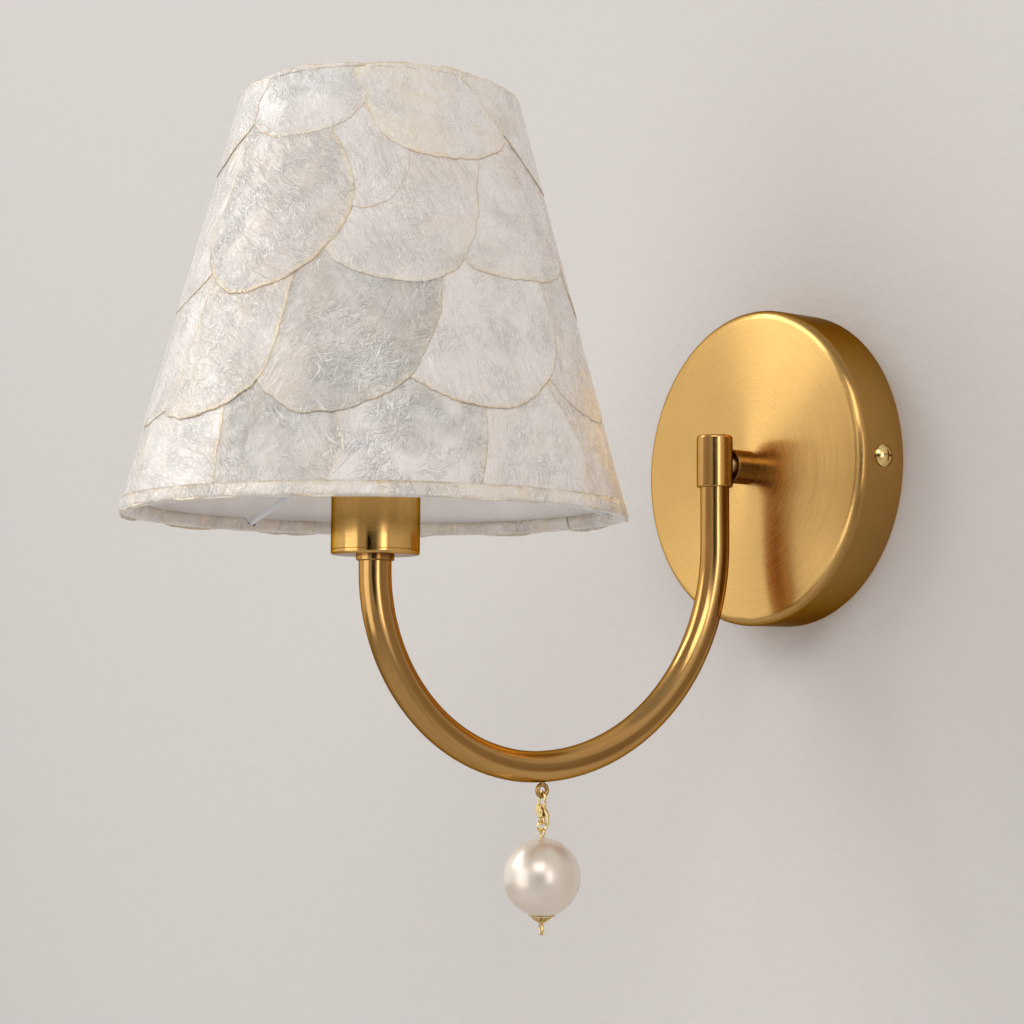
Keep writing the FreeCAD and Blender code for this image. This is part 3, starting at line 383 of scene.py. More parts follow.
def along_arm(made, place):
    """Polishing marks that run along the bent arm: they depend on x and on how far the
    point lies from the centre of its own bend."""
    x, y, z = made.split(place)
    aside = made.math("SUBTRACT", y, ARM_LOW_Y)
    more = made.times(made.math("GREATER_THAN", aside, 0.0), ARM_WIDER)
    drop = made.math("MINIMUM", made.math("SUBTRACT", z, made.plus(ARM_CENTRE_Z, more)), 0.0)
    off = made.math("SUBTRACT", made.reach(0.0, aside, drop), made.plus(ARM_RADIUS, more))
    return made.join(
        made.times(x, PER_METRE), made.times(off, PER_METRE), made.times(made.plus(y, z), 45.0))


def even(made, place):
    return made.vector_math("MULTIPLY", place, (300.0, 300.0, 300.0))


def plain(name, colour, rough, grain_mm, grain, spread, metal=0.0):
    """Plastic, paint or plated metal: colour and shine drift a little and the skin is grained."""
    made = Finish(name, Metallic=metal)
    place = made.place()
    cloud = made.noise(place, 70.0, 3.0)
    fine = made.noise(place, grain, 3.0)
    low = tuple(channel * (1 - spread) for channel in colour)
    high = tuple(min(channel * (1 + spread), 1.0) for channel in colour)
    return made.set(
        Base_Color=made.mix(made.fade(cloud, 0.3, 0.7), low, high),
        Roughness=made.fade(fine, 0.3, 0.7, rough - 0.05, rough + 0.05),
        Normal=made.bump(fine, grain_mm))


# Shell --------

PALE_SHELL, GREY_SHELL = (0.82, 0.795, 0.765), (0.47, 0.445, 0.41)
BLUSH, CREAM, WHITE_FIBRE = (0.78, 0.70, 0.66), (0.80, 0.70, 0.56), (0.92, 0.91, 0.89)
GROWTH_LINE, RIM_BAND = (0.86, 0.80, 0.71), (0.82, 0.71, 0.53)
RIM_LINE, SPECK = (0.76, 0.58, 0.36), (0.42, 0.27, 0.15)
# crinkles: scale, and half width of a ridge
RIDGES = ((0.16, 0.035), (0.42, 0.05))
# fibres: angle in degrees, scale across and along, and where the noise turns into fibre
FIBRES = ((58, 1.9, 0.12, 0.60), (112, 2.3, 0.15, 0.60), (20, 2.0, 0.15, 0.63),
          (84, 3.2, 0.20, 0.59), (135, 2.6, 0.22, 0.62))
SHELL_BUMP_MM, HEM_BUMP_MM = 0.32, 0.36


def shell_finish(name, depth_mm):
    """Window-pane shell: milky sheets with grey clouds, crinkles, white hair-like fibres,
    growth lines towards the rim and a tan rim. "flat" is the place on the unrolled sheet,
    "rim" the distance from the rim, the growth radius and how tan the rim is, and "tone"
    how grey, how warm and how fibrous the piece is."""
    made = Finish(name, Coat_Weight=0.6, Coat_Roughness=0.16)
    flat = made.read("flat")
    rim, growth, tan = made.split(made.read("rim"))
    grey, warm, fibrous = made.split(made.read("tone"))
    cloud = made.noise(flat, 0.055, 3.0, 0.4)
    patch = made.noise(flat, 0.021, 2.0, 0.6)
    mottle = made.noise(flat, 0.35, 4.0, 0.8)
    # crinkles: thin winding ridges at two sizes
    ridges = []
    for scale, width in RIDGES:
        wave = made.math("SUBTRACT", made.noise(flat, scale, 2.5, 1.4), 0.5)
        ridges.append(made.fade(made.math("ABSOLUTE", wave), 0.0, width, 1.0, 0.0))
    # short fibres in several directions, bent by a slow noise
    bend = made.vector_math(
        "MULTIPLY", made.join(made.noise(flat, 0.06), made.noise(flat, 0.071), 0.0),
        (9.0, 9.0, 0.0))
    bent = made.vector_math("ADD", flat, bend)
    fibres = None
    for angle, across, along, limit in FIBRES:
        stretched = made.turn(bent, angle, (along, across, 1.0))
        streak = made.fade(made.noise(stretched, 1.0, 1.0), limit, limit + 0.08)
        fibres = streak if fibres is None else made.math("MAXIMUM", fibres, streak)
    felt = made.fade(made.noise(flat, 0.09, 2.0, 0.5), 0.38, 0.62)
    fibres = made.times(fibres, made.times(felt, fibrous))
    # colour
    dim = made.plus(grey, made.fade(cloud, 0.3, 0.7, -0.45, 0.45))
    dim = made.plus(dim, made.fade(mottle, 0.3, 0.7, -0.10, 0.10), clamp=True)
    tint = made.mix(dim, PALE_SHELL, GREY_SHELL)
    tint = made.mix(made.times(made.fade(patch, 0.35, 0.65), 0.55), tint, BLUSH)
    cream = made.times(warm, made.fade(made.noise(flat, 0.05, 3.0, 0.8), 0.35, 0.65))
    tint = made.mix(cream, tint, CREAM)
    for part, share in ((ridges[0], 0.25), (ridges[1], 0.06), (fibres, 0.60)):
        tint = made.mix(made.times(part, share), tint, WHITE_FIBRE)
    # growth lines, stronger towards the rim
    waver = made.times(made.noise(flat, 0.12), 9.0)
    rings = made.math("SINE", made.plus(made.times(growth, 2.6), waver))
    near_rim = made.fade(rim, 1.0, 11.0, 1.0, 0.12)
    rings = made.times(made.fade(rings, 0.2, 1.0), near_rim)
    tint = made.mix(made.times(rings, 0.14), tint, GROWTH_LINE)
    # rim: a wide creamy band, then a thin broken tan line
    worn = made.fade(made.noise(flat, 0.55, 3.0), 0.3, 0.7, -0.5, 0.5)
    band = made.fade(made.plus(rim, worn), 0.5, 2.2, 1.0, 0.0)
    strength = made.plus(0.06, made.times(tan, 0.75), clamp=True)
    tint = made.mix(made.times(band, strength), tint, RIM_BAND)
    width = made.plus(0.24, made.times(tan, 0.60))
    edge = made.fade(made.math("DIVIDE", rim, width), 0.55, 1.15, 1.0, 0.0)
    edge = made.times(edge, made.fade(made.noise(flat, 0.11, 3.0), 0.40, 0.62, 0.05, 0.95))
    tint = made.mix(edge, tint, RIM_LINE)
    specks = made.specks(flat, 0.16, 0.030, 0.062, 1.0, 0.05, 0.60, 0.64)
    tint = made.mix(specks, tint, SPECK)
    gloss = made.plus(made.fade(mottle, 0.3, 0.7, 0.22, 0.36), made.times(fibres, 0.08))
    # relief
    fold = made.noise(made.turn(bent, 70, (0.07, 0.50, 1.0)), 1.0, 3.0, 0.3)
    fold = made.times(fold, made.fade(patch, 0.40, 0.62, 0.25, 2.8))
    height = made.times(made.noise(flat, 0.13, 2.0, 0.5), 2.8)
    for part, share in ((ridges[0], 0.20), (ridges[1], 0.05), (mottle, 0.60), (fold, 1.25),
                        (fibres, 0.80), (rings, 0.14), (edge, 0.30)):
        height = made.plus(height, made.times(part, share))
    normal = made.bump(height, depth_mm)
    return made.set(Base_Color=tint, Roughness=gloss, Normal=normal, Coat_Normal=normal)


def liner_radius(height):
    return LINER_LOW - (height - SHADE_LOW) * (LINER_LOW - LINER_HIGH) / (SHADE_HIGH - SHADE_LOW)


# name of the row: lowest point, top edge, lift over the liner at each of them, in millimetres
ROWS = {
    "top": (82.0, 109.4, 0.42, 0.32),
    "upper": (37.0, 97.0, 0.40, 0.06),
    "lower": (-2.0, 53.0, 0.40, 0.06),
    "bottom": (-26.7, 12.0, 0.06, 0.06),
}


def row_lift(row, height):
    low, high, lift_low, lift_high = ROWS[row]
    return lift_high + (lift_low - lift_high) * (high - height) / (high - low)


def scallop(left, right, low, high, rng):
    """The outline of a disc shell cut off at its top, as direction and height."""
    wide = right - left
    middle = (left + right) / 2 + rng.uniform(-0.06, 0.06) * wide
    drop = [rng.uniform(-0.8, 0.8) for _ in range(6)]
    waist, shoulder = high - 0.4 * (high - low), low + min(15.0, 0.42 * (high - low))
    return [
        (right, high), (right + 1.5, waist), (right + 0.6, shoulder + drop[0]),
        (right - 0.05 * wide, low + 7 + drop[1]), (right - 0.22 * wide, low + 2 + 0.5 * drop[2]),
        (middle, low + 0.4 * drop[3]), (left + 0.22 * wide, low + 2 + 0.5 * drop[4]),
        (left + 0.05 * wide, low + 7 + drop[5]), (left - 0.6, shoulder + drop[2]),
        (left - 1.5, waist), (left, high)]


def strip(left, right, low, high, rng):
    """The outline of a bottom piece, with nearly upright sides."""
    lean, level, middle = rng.uniform(-1.5, 1.5), (low + high) / 2, (left + right) / 2
    return [
        (right, high), (right + lean * 0.3, level), (right + lean, low), (middle, low),
        (left + lean, low), (left + lean * 0.3, level), (left, high), (middle, high)]


# Each visible piece: outline as direction in degrees and height, layer in its row, then
# how tan its rim is, how grey, how warm and how fibrous it is.
PIECES = {
    "top": [
        ([(-82, 109.4), (-81.5, 101), (-81, 94), (-88, 89.5), (-96, 85), (-106, 82.5), (-118, 85),
          (-125, 92), (-126, 109.4)], 2, 0.45, 0.22, 0.2, 0.6),
        ([(-33, 109.4), (-34, 101), (-36.5, 95.5), (-41, 91), (-47, 88), (-58, 86.5), (-69, 87.2),
          (-76, 90), (-81, 93.5), (-88, 97), (-88, 109.4)], 0, 0.35, 0.42, 0.15, 0.7),
        ([(16, 109.4), (17.5, 97), (18.8, 92), (17.5, 88), (13, 84.8), (7, 82), (1, 80.2),
          (-9, 79.4), (-18, 80.2), (-26, 83.2), (-31, 88), (-34.5, 93), (-36, 100), (-37, 109.4)],
          1, 0.55, -0.1, 0.75, 0.35),
        ([(61, 109.4), (62, 97), (59, 86), (53, 80), (44, 79), (34, 82), (26, 87), (19, 92),
          (13, 97), (8.5, 103), (5, 109.4)], 2, 0.4, 0.15, 0.35, 0.3),
    ],
    "upper": [
        ([(-78, 97), (-76, 70), (-80, 50), (-88, 41), (-101, 37), (-116, 38), (-127, 46),
          (-131, 62), (-130, 97)], 0, 0.5, 0.05, 0.35, 0.5),
        ([(-50, 97), (-46.5, 88), (-41, 79), (-37.6, 69), (-38.3, 61), (-41, 54), (-46, 47),
          (-51, 42), (-60, 37.4), (-71, 36), (-78, 39.5), (-83, 44.5), (-87, 51), (-89, 57),
          (-87, 64), (-84, 74), (-83, 85), (-84, 97)], 3, 1.0, 0.98, 0.3, 1.0),
        ([(8, 97), (5, 84), (2, 73), (1, 64), (-2, 55), (-6, 47), (-10, 42), (-15, 39.5), (-21, 38),
          (-30, 38.6), (-38, 41.5), (-44, 47), (-50, 60), (-50, 97)], 1, 0.35, 0.3, 0.25, 0.45),
        ([(-19, 97), (-20, 84), (-22, 73), (-26, 65), (-32, 61.5), (-39, 62), (-45, 66), (-50, 80),
          (-50, 97)], 2, 0.12, 0.4, 0.1, 0.6),
        ([(46, 97), (47, 75), (46, 60), (42, 53), (36, 49), (30, 46), (23, 44), (14, 43), (6, 42.6),
          (-1, 43.2), (-6, 46), (-9, 52), (-10, 97)], 0, 0.5, 0.08, 0.3, 0.35),
    ],
    "lower": [
        ([(-79, 53), (-78, 30), (-80, 12), (-87, 3), (-98, -1), (-110, 0), (-121, 6), (-126, 20),
          (-126, 53)], 0, 0.5, 0.05, 0.3, 0.4),
        ([(-52, 53), (-53, 40), (-53.6, 31), (-54.5, 24), (-55.5, 16), (-58, 8), (-63, 3), (-68, 0),
          (-77, -2), (-84, -1.5), (-88, 0), (-89, 4), (-87, 10), (-85, 18), (-83.5, 28), (-83, 40),
          (-84, 53)], 3, 0.8, 0.58, 0.75, 0.6),
        ([(-12, 53), (-13, 44), (-13.5, 35), (-14.5, 28), (-17, 21), (-20, 13), (-23, 8),
          (-29, 2.5), (-37, -2), (-44, -3), (-49, -2), (-55, 3), (-59, 9), (-62, 20), (-62, 53)],
          2, 0.25, 0.95, 0.35, 1.0),
        ([(18, 53), (21.5, 42), (23, 35), (22.5, 24), (19, 16), (16, 12), (11, 7), (6, 2.5),
          (-2, 0), (-9, 0.8), (-14, 2.5), (-18, 4.5), (-22, 8), (-25, 16), (-24, 53)],
          1, 0.45, -0.12, 0.1, 0.6),
        ([(60, 53), (61, 30), (58, 14), (50, 6), (40, 2), (31, 2), (23, 5), (18, 10), (14, 18),
          (14, 53)], 0, 0.5, 0.15, 0.45, 0.35),
    ],
    "bottom": [
        ([(-67, 12), (-66.5, 0), (-66, -11), (-67, -26.5), (-82, -26.5), (-98, -26.5), (-97, -8),
          (-97, 12), (-82, 12)], 1, 0.8, 0.1, 0.35, 0.4),
        ([(-36, 12), (-35, -8), (-36, -26.5), (-53, -26.5), (-70, -26.5), (-71, -8), (-70, 12),
          (-53, 12)], 0, 0.3, 0.78, 0.3, 1.0),
        ([(-4.5, 12), (-5, 0), (-6, -13), (-10.5, -26.5), (-25, -26.5), (-40, -26.5), (-38, -15),
          (-39, -2), (-39.5, 12), (-22, 12)], 1, 0.4, 0.35, 0.15, 1.0),
        ([(29, 12), (30, -8), (27, -26.5), (8, -26.5), (-14, -26.5), (-10, -8), (-9, 12), (10, 12)],
          0, 0.3, -0.25, 0.25, 0.7),
        ([(53, 12), (54, -8), (53, -26.5), (37, -26.5), (20, -26.5), (24.5, -12), (20, 0), (15, 12),
          (34, 12)], 1, 0.35, 0.0, 0.4, 0.5),
    ],
}

# The rest of each row, which goes round the back: first and last direction, and number.
HIDDEN = {"top": (61, 235, 3), "upper": (44, 230, 4), "lower": (58, 235, 5),
          "bottom": (53, 263, 7)}
# the least and most of how tan, grey, warm and fibrous they are
HIDDEN_SPANS = ((0.3, 0.7), (0.05, 0.6), (0.1, 0.6), (0.3, 1.0))


def row_pieces(row, rng):
    low, high = ROWS[row][:2]
    pieces = list(PIECES[row])
    first, last, count = HIDDEN[row]
    step = (last - first) / count
    upright = row == "bottom"
    outline = strip if upright else scallop
    for index in range(count):
        # each piece reaches a little under or over its neighbours
        more = rng.uniform(1.5, 3.5)
        left, right = first + index * step - more, first + (index + 1) * step + more
        base = low if upright else low + rng.uniform(-1, 3)
        layer = index % 2 if upright else (2, 1, 0, 2, 1)[index % 5]
        pieces.append((outline(left, right, base, high, rng), layer,
                       *(rng.uniform(*span) for span in HIDDEN_SPANS)))
    return pieces


# in millimetres: each layer's lift over the one below, a piece's thickness, and its
# distance from the liner
LAYER_STEP, SHELL_THICK, SHELL_CLEAR = 0.06, 0.07, 0.03
# the two rings of a piece's underside: share of the way to its rim, and lift
UNDERSIDE = ((1.0, -0.28), (0.6, -0.08))
# the distance from the rim that a piece's middle is given
MIDDLE_EDGE = 20.0
AROUND, RINGS = 240, 12


def shell_row(row, seed):
    """All pieces of one row as thin solids that follow the cone."""
    rng = random.Random(seed)
    high = ROWS[row][1]
    built, flats, rims, tones = Builder(), [], [], []
    for number, (outline, layer, tan, grey, warm, fibrous) in enumerate(row_pieces(row, rng)):
        reach = liner_radius(sum(point[1] for point in outline) / len(outline))
        loop = smooth_loop(
            [(math.radians(angle) * reach, height, 0) for angle, height in outline], AROUND)
        middle = sum(loop, Vector()) / AROUND
        middle.x = (min(p.x for p in loop) + max(p.x for p in loop)) / 2
        hinge = Vector((middle.x + rng.uniform(-6, 6), high + rng.uniform(2, 9), 0))
        spin = Matrix.Rotation(math.radians(rng.uniform(-55, 55)), 3, "Z")
        offset = seed * 37.0 + number * 11.3
        waved = []
        for point in loop:
            outward = (point - middle).normalized()
            probe = Vector((point.x, point.y, offset))
            wobble = 0.60 * noise.noise(probe * 0.17) + 0.42 * noise.noise(probe * 0.42)
            wobble += 0.20 * noise.noise(probe * 1.2)
            waved.append(point + outward * (wobble if row != "bottom" else 0.6 * wobble))
        points, faces = [], []

        def add_point(spot, share, edge, face_lift):
            probe = Vector((spot.x, spot.y, offset))
            relief = 0.014 * noise.noise(probe * 0.09) + 0.006 * noise.noise(probe * 0.3)
            lift = row_lift(row, spot.y) + LAYER_STEP * layer + face_lift + relief + SHELL_CLEAR
            points.append(round_upright(
                liner_radius(spot.y) + lift, spot.x / reach, CUP_Y, spot.y))
            laid = spin @ (spot - middle)
            flats.append((laid.x, laid.y, offset))
            rims.append(((1 - share) * edge, (spot - hinge).length, tan))
            tones.append((grey, warm, fibrous))

        layers = [(1 - (1 - ring / RINGS) ** 1.7, SHELL_THICK) for ring in range(1, RINGS + 1)]
        layers += UNDERSIDE
        add_point(middle, 0.0, MIDDLE_EDGE, SHELL_THICK)
        for share, face_lift in layers:
            for point in waved:
                add_point(middle.lerp(point, share), share, (point - middle).length, face_lift)
        add_point(middle, 0.0, MIDDLE_EDGE, 0.0)
        # the outlines run clockwise seen from outside, so every face is turned
        low_ring = 1 + (RINGS + 1) * AROUND
        for index in range(AROUND):
            after = (index + 1) % AROUND
            faces.append((1 + after, 1 + index, 0))
            for ring in range(RINGS + 1):
                a = 1 + ring * AROUND
                faces.append((a + after, a + AROUND + after, a + AROUND + index, a + index))
            faces.append((len(points) - 1, low_ring + index, low_ring + after))
        built.add(points, faces)
    made = make_object(
        "shell_row_" + row, built.points, built.faces, "light", ["shells_" + row],
        shell_material)
    add_attributes(made, flat=flats, rim=rims, tone=tones)


shell_material = shell_finish("window_pane_shell", SHELL_BUMP_MM)
for seed, row in enumerate(ROWS, start=3):
    shell_row(row, seed)

# steps round the edge, and in millimetres the strip's thickness and the reach of its folds
HEM_STEPS, HEM_SHEET, HEM_FOLD = 720, 0.45, 0.9
# the radius on which the hem's pattern is laid out, and the half width of a spoke's notch
HEM_REACH, NOTCH = 80.0, 1.9
HEM_TONE, HEM_TAN = (-0.05, 0.55, 0.8), 0.55


def hem_profile(outer, inner, tall_outside, tall_inside):
    """The folded strip's section: offset from the liner, distance from the edge, and 1 on
    the outside, 2 along the inner cut edge or 0 elsewhere."""
    sheet = HEM_SHEET
    profile = [(outer, tall_outside, 1), (outer, 2.6, 1), (outer, 1.1, 1),
               (outer - 0.25, 0.45, 1), (outer - HEM_FOLD, 0.08, 1), (outer - 2.0, 0.0, 0),
               (inner + 1.6, 0.0, 0), (inner + HEM_FOLD, 0.08, 0), (inner + 0.25, 0.45, 0),
               (inner, 1.1, 0), (inner, 2.4, 0), (inner, tall_inside, 2),
               (inner + sheet, tall_inside, 2), (inner + sheet, 1.4, 0),
               (inner + sheet + 0.5, sheet, 0), (outer - sheet - 0.5, sheet, 0),
               (outer - sheet, 1.4, 0), (outer - sheet, tall_outside, 1)]
    return [p for p in profile if p[1] <= (tall_inside if p[2] == 2 else tall_outside)]


def shade_hem(name, node, edge, way, sizes, notches, seed):
    """A strip of shell folded over an edge of the shade. way is +1 where it folds upwards,
    and sizes are the section's faces outside and inside and its heights there."""
    tall_outside, tall_inside = sizes[2:]
    profile = hem_profile(*sizes)
    count = len(profile)
    points, flats, rims, tones, faces = [], [], [], [], []
    runs = [0.0]
    for before, here in zip(profile, profile[1:]):
        runs.append(runs[-1] + math.hypot(here[0] - before[0], here[1] - before[1]))
    for step in range(HEM_STEPS):
        # the join of the pattern is on the side towards the canopy
        turn = math.tau * step / HEM_STEPS + math.pi / 2
        # the strip is laid on in lengths, and each end lies over the next one
        slip = noise.noise(Vector((math.cos(turn) * 2, math.sin(turn) * 2, seed)))
        phase = (turn * 11 / math.tau + 0.35 * slip) % 1.0
        ply = 0.06 * (1 - min(phase / 0.05, 1.0)) + 0.05 * phase
        for index, (offset, up, kind) in enumerate(profile):
            # the pattern repeats after a full turn
            where = Vector((math.cos(turn) * 25, math.sin(turn) * 25, seed + runs[index] * 0.3))
            rough = 0.10 * noise.noise(where * 0.8) + 0.07 * noise.noise(where * 2.2)
            out = offset + (rough + ply - 0.12 if index < count // 2 + 3 else 0.0)
            tall = up
            if up >= min(tall_outside, tall_inside) - 0.01 or kind == 2:
                tall += 0.20 * noise.noise(where * 1.3)
            if kind == 2:
                for direction in notches:
                    aside = (turn - math.radians(direction) + math.pi) % math.tau - math.pi
                    shape = math.exp(-(aside * HEM_REACH / NOTCH) ** 4)
                    tall -= shape * (tall_inside - 0.9)
            height = edge + way * tall
            points.append(round_upright(liner_radius(height) + out, turn, CUP_Y, height))
            flats.append((turn * HEM_REACH, runs[index], seed * 19.0))
            rims.append((
                min(0.45 + phase * 9.0, abs(tall_outside - up) * 0.9 + 0.25), 30 + up, HEM_TAN))
            tones.append(HEM_TONE)
    # the faces of a strip that folds upwards run the other way round
    for face in band_faces(HEM_STEPS, count, closed=True):
        faces.append(face[:1] + face[:0:-1] if way > 0 else face[1:] + face[:1])
    made = make_object(name, points, faces, "light", [node], hem_material)
    add_attributes(made, flat=flats, rim=rims, tone=tones)


hem_material = shell_finish("shell_hem", HEM_BUMP_MM)
SPOKES = (65.0, 185.0, 305.0)
shade_hem("hem_low", "shade_bottom_hem", SHADE_LOW, 1, (0.55, -4.1, 4.6, 4.4), SPOKES, 5)
shade_hem("hem_high", "shade_top_hem", SHADE_HIGH, -1, (0.62, -3.6, 1.2, 3.2), (), 9)

# Metal finishes --------

GOLD = (0.76, 0.475, 0.165)
AGED = (0.64, 0.375, 0.13)
# distances from the Y axis, in metres, between which painted shade darkens the canopy's rim
CANOPY_SHADED_RIM = (0.0578, 0.0598)
canopy_brass = brass("satin_brass_canopy", GOLD, 0.24, about_y, 0.0070, 0.04, 0.8, CANOPY_SHADED_RIM)
cup_brass = brass("satin_brass_cup", (0.72, 0.435, 0.14), 0.14, about_upright(CUP_Y), 0.003, 0.04)
elbow_brass = brass("satin_brass_elbow", AGED, 0.17, about_upright(ELBOW_Y), 0.002, 0.03)
standoff_brass = brass("satin_brass_standoff", (0.30, 0.18, 0.07), 0.26, about_y, 0.002, 0.03)
arm_brass = brass("satin_brass_arm", AGED, 0.16, along_arm, 0.0012, 0.03, patina_and_flank_shade=0.30)
screw_brass = brass("polished_brass", (0.98, 0.72, 0.30), 0.16, even, 0.001, 0.03)
clasp_brass = brass("gilt_clasp", (0.92, 0.72, 0.36), 0.17, even, 0.003, 0.04)
eye_brass = brass("antique_brass_eye", (0.50, 0.32, 0.12), 0.26, even, 0.004, 0.05)
raw_brass = brass("raw_brass", (0.72, 0.52, 0.25), 0.30, even, 0.004, 0.06)

zinc = plain("zinc_steel", (0.56, 0.57, 0.58), 0.36, 0.004, 350.0, 0.09, 1.0)
nickel = plain("nickel_cap", (0.66, 0.64, 0.60), 0.24, 0.003, 500.0, 0.10, 1.0)
white_plastic = plain("white_thermoplastic", (0.78, 0.77, 0.74), 0.42, 0.02, 1400.0, 0.03)
# the white wire's blue cast is painted shade, standing in for the cool shade inside the lampshade
wire_with_painted_shade = plain("white_enamelled_wire_painted_shade", (0.74, 0.77, 0.82), 0.38, 0.02, 800.0, 0.05)
brown_lead = plain("brown_pvc", (0.17, 0.07, 0.035), 0.45, 0.01, 900.0, 0.1)
blue_lead = plain("blue_pvc", (0.03, 0.12, 0.42), 0.45, 0.01, 900.0, 0.1)
black_glass = plain("black_glass", (0.02, 0.02, 0.024), 0.12, 0.002, 300.0, 0.2)
filament_yellow = plain("filament_phosphor", (0.86, 0.66, 0.20), 0.55, 0.03, 2500.0, 0.08)


def liner_finish():
    """Milk-white liner sheet; the little glow stands for daylight through the shells."""
    made = Finish("shade_liner_sheet", Emission_Strength=0.07)
    place = made.place()
    cloud = made.noise(place, 42.0, 4.0, 0.8)
    fibre = made.noise(made.vector_math("MULTIPLY", place, (1.0, 1.0, 0.25)), 900.0, 3.0)
    tint = made.mix(made.fade(cloud, 0.3, 0.7), (0.92, 0.90, 0.89), (0.83, 0.80, 0.79))
    return made.set(
        Base_Color=made.mix(made.fade(fibre, 0.45, 0.75, 0.0, 0.35), tint, (0.86, 0.86, 0.87)),
        Emission_Color=(1.0, 0.95, 0.90), Roughness=made.fade(fibre, 0.3, 0.7, 0.5, 0.66),
        Normal=made.bump(fibre, 0.03, made.bump(cloud, 0.25)))


def pearl_finish():
    """Pearl coating: warm ivory with a soft metal-like lustre under a gloss, a faint cloud
    and a few pin marks."""
    made = Finish("pearl_coating", Metallic=0.5, Coat_Weight=0.35, Coat_Roughness=0.2,
                  Coat_IOR=1.6)
    place = made.place()
    cloud = made.noise(place, 60.0, 3.0, 0.6)
    tint = made.mix(made.fade(cloud, 0.3, 0.7), (0.755, 0.662, 0.552), (0.81, 0.732, 0.638))
    pins = made.specks(place, 210.0, 0.035, 0.07, 0.8, 120.0, 0.66, 0.70)
    return made.set(
        Base_Color=made.mix(pins, tint, (0.30, 0.25, 0.22)),
        Roughness=made.fade(cloud, 0.3, 0.7, 0.27, 0.33), Normal=made.bump(cloud, 0.006))


def glass_finish():
    made = Finish("clear_glass", Transmission_Weight=1.0, IOR=1.45)
    place = made.place()
    return made.set(
        Base_Color=made.mix(made.fade(made.noise(place, 30.0), 0.3, 0.7),
                            (0.97, 0.98, 0.98), (1.0, 1.0, 1.0)),
        Roughness=made.fade(made.noise(place, 120.0, 3.0), 0.3, 0.7, 0.0, 0.03),
        Normal=made.bump(made.noise(place, 45.0), 0.02))


FINISHES = (
    (zinc, "mounting_bracket terminal_screws lock_washer cup_rod"),
    (screw_brass, "side_screws"), (raw_brass, "earth_screw lock_nut lampholder_contact"),
    (white_plastic, "terminal_block lampholder_cap lampholder_body shade_clamp_ring"),
    (canopy_brass, "canopy"), (standoff_brass, "standoff"), (elbow_brass, "elbow"),
    (arm_brass, "arm_tube arm_collar"), (cup_brass, "socket_cup"), (eye_brass, "hanging_eye"),
    (brown_lead, "lead_live"), (blue_lead, "lead_neutral"),
    (nickel, "lampholder_thread_shell bulb_cap bulb_contact"),
    (black_glass, "bulb_insulator"), (glass_finish(), "bulb_glass bulb_stem"),
    (filament_yellow, "bulb_filaments"), (wire_with_painted_shade, "shade_frame shade_top_ring"),
    (liner_finish(), "shade_liner"), (pearl_finish(), "pearl"))
for material, names in FINISHES:
    for name in names.split():
        for slot in nodes[name].material_slots:
            slot.link = "OBJECT"
            slot.material = material

# Threaded rod --------

def threaded_rod():
    """The M8 x 1 rod, whose thread shows between the elbow and the spacer."""
    steps, pitch, start, end = 48, 1.0, 14.0, 33.0
    crest, depth, run_out, bore = 3.98, 0.55, 0.8, 2.75
    rows = int((end - start) / pitch * 8)
    points = []
    for row in range(rows + 1):
        along = start + (end - start) * row / rows
        for step in range(steps):
            turn = math.tau * step / steps
            wave = (along / pitch - step / steps) % 1.0
            ease = min(1.0, (along - start) / run_out, (end - along) / run_out)
            radius = crest - depth * abs(2 * wave - 1) * ease - 0.3 * (1 - ease)
            points.append((radius * math.cos(turn), -along, radius * math.sin(turn)))
    for along in (end, start):
        for step in range(steps):
            turn = math.tau * step / steps
            points.append((bore * math.cos(turn), -along, bore * math.sin(turn)))
    faces = [face[1:] + face[:1] for face in band_faces(rows + 3, steps, closed=True)]
    make_object("threaded_rod", points, faces, "light", ["hollow_rod"], raw_brass)


threaded_rod()

# Pendant --------

# heights of the loops' centres, of the pearl and of its cap's lower end
HOOK_Z, RIVET_X, RIVET_Z = -120.65, 0.3, -125.2
TAIL_Z, RING_Z, PIN_Z = -128.35, -130.35, -132.5
PEARL_Z, PEARL_R = -147.65, 13.4
CAP_LOW = PEARL_Z - PEARL_R - 2.1
# radius of the ring's wire and of the pin's, and the sides that each is drawn with
RING_WIRE, PIN_WIRE = (0.45, 16), (0.4, 14)


def pendant_piece(name, built, body, node):
    return make_object(
        name, built.points, built.faces, body, [node], clasp_brass)


def soft_edges(thing, width_mm):
    bevel = thing.modifiers.new("bevel", "BEVEL")
    bevel.width, bevel.segments, bevel.limit_method = width_mm * MM, 2, "ANGLE"
    subsurf = thing.modifiers.new("subsurf", "SUBSURF")
    subsurf.levels = subsurf.render_levels = 1


def above_rivet(outline):
    return [(x, RIVET_Z + z) for x, z in outline]


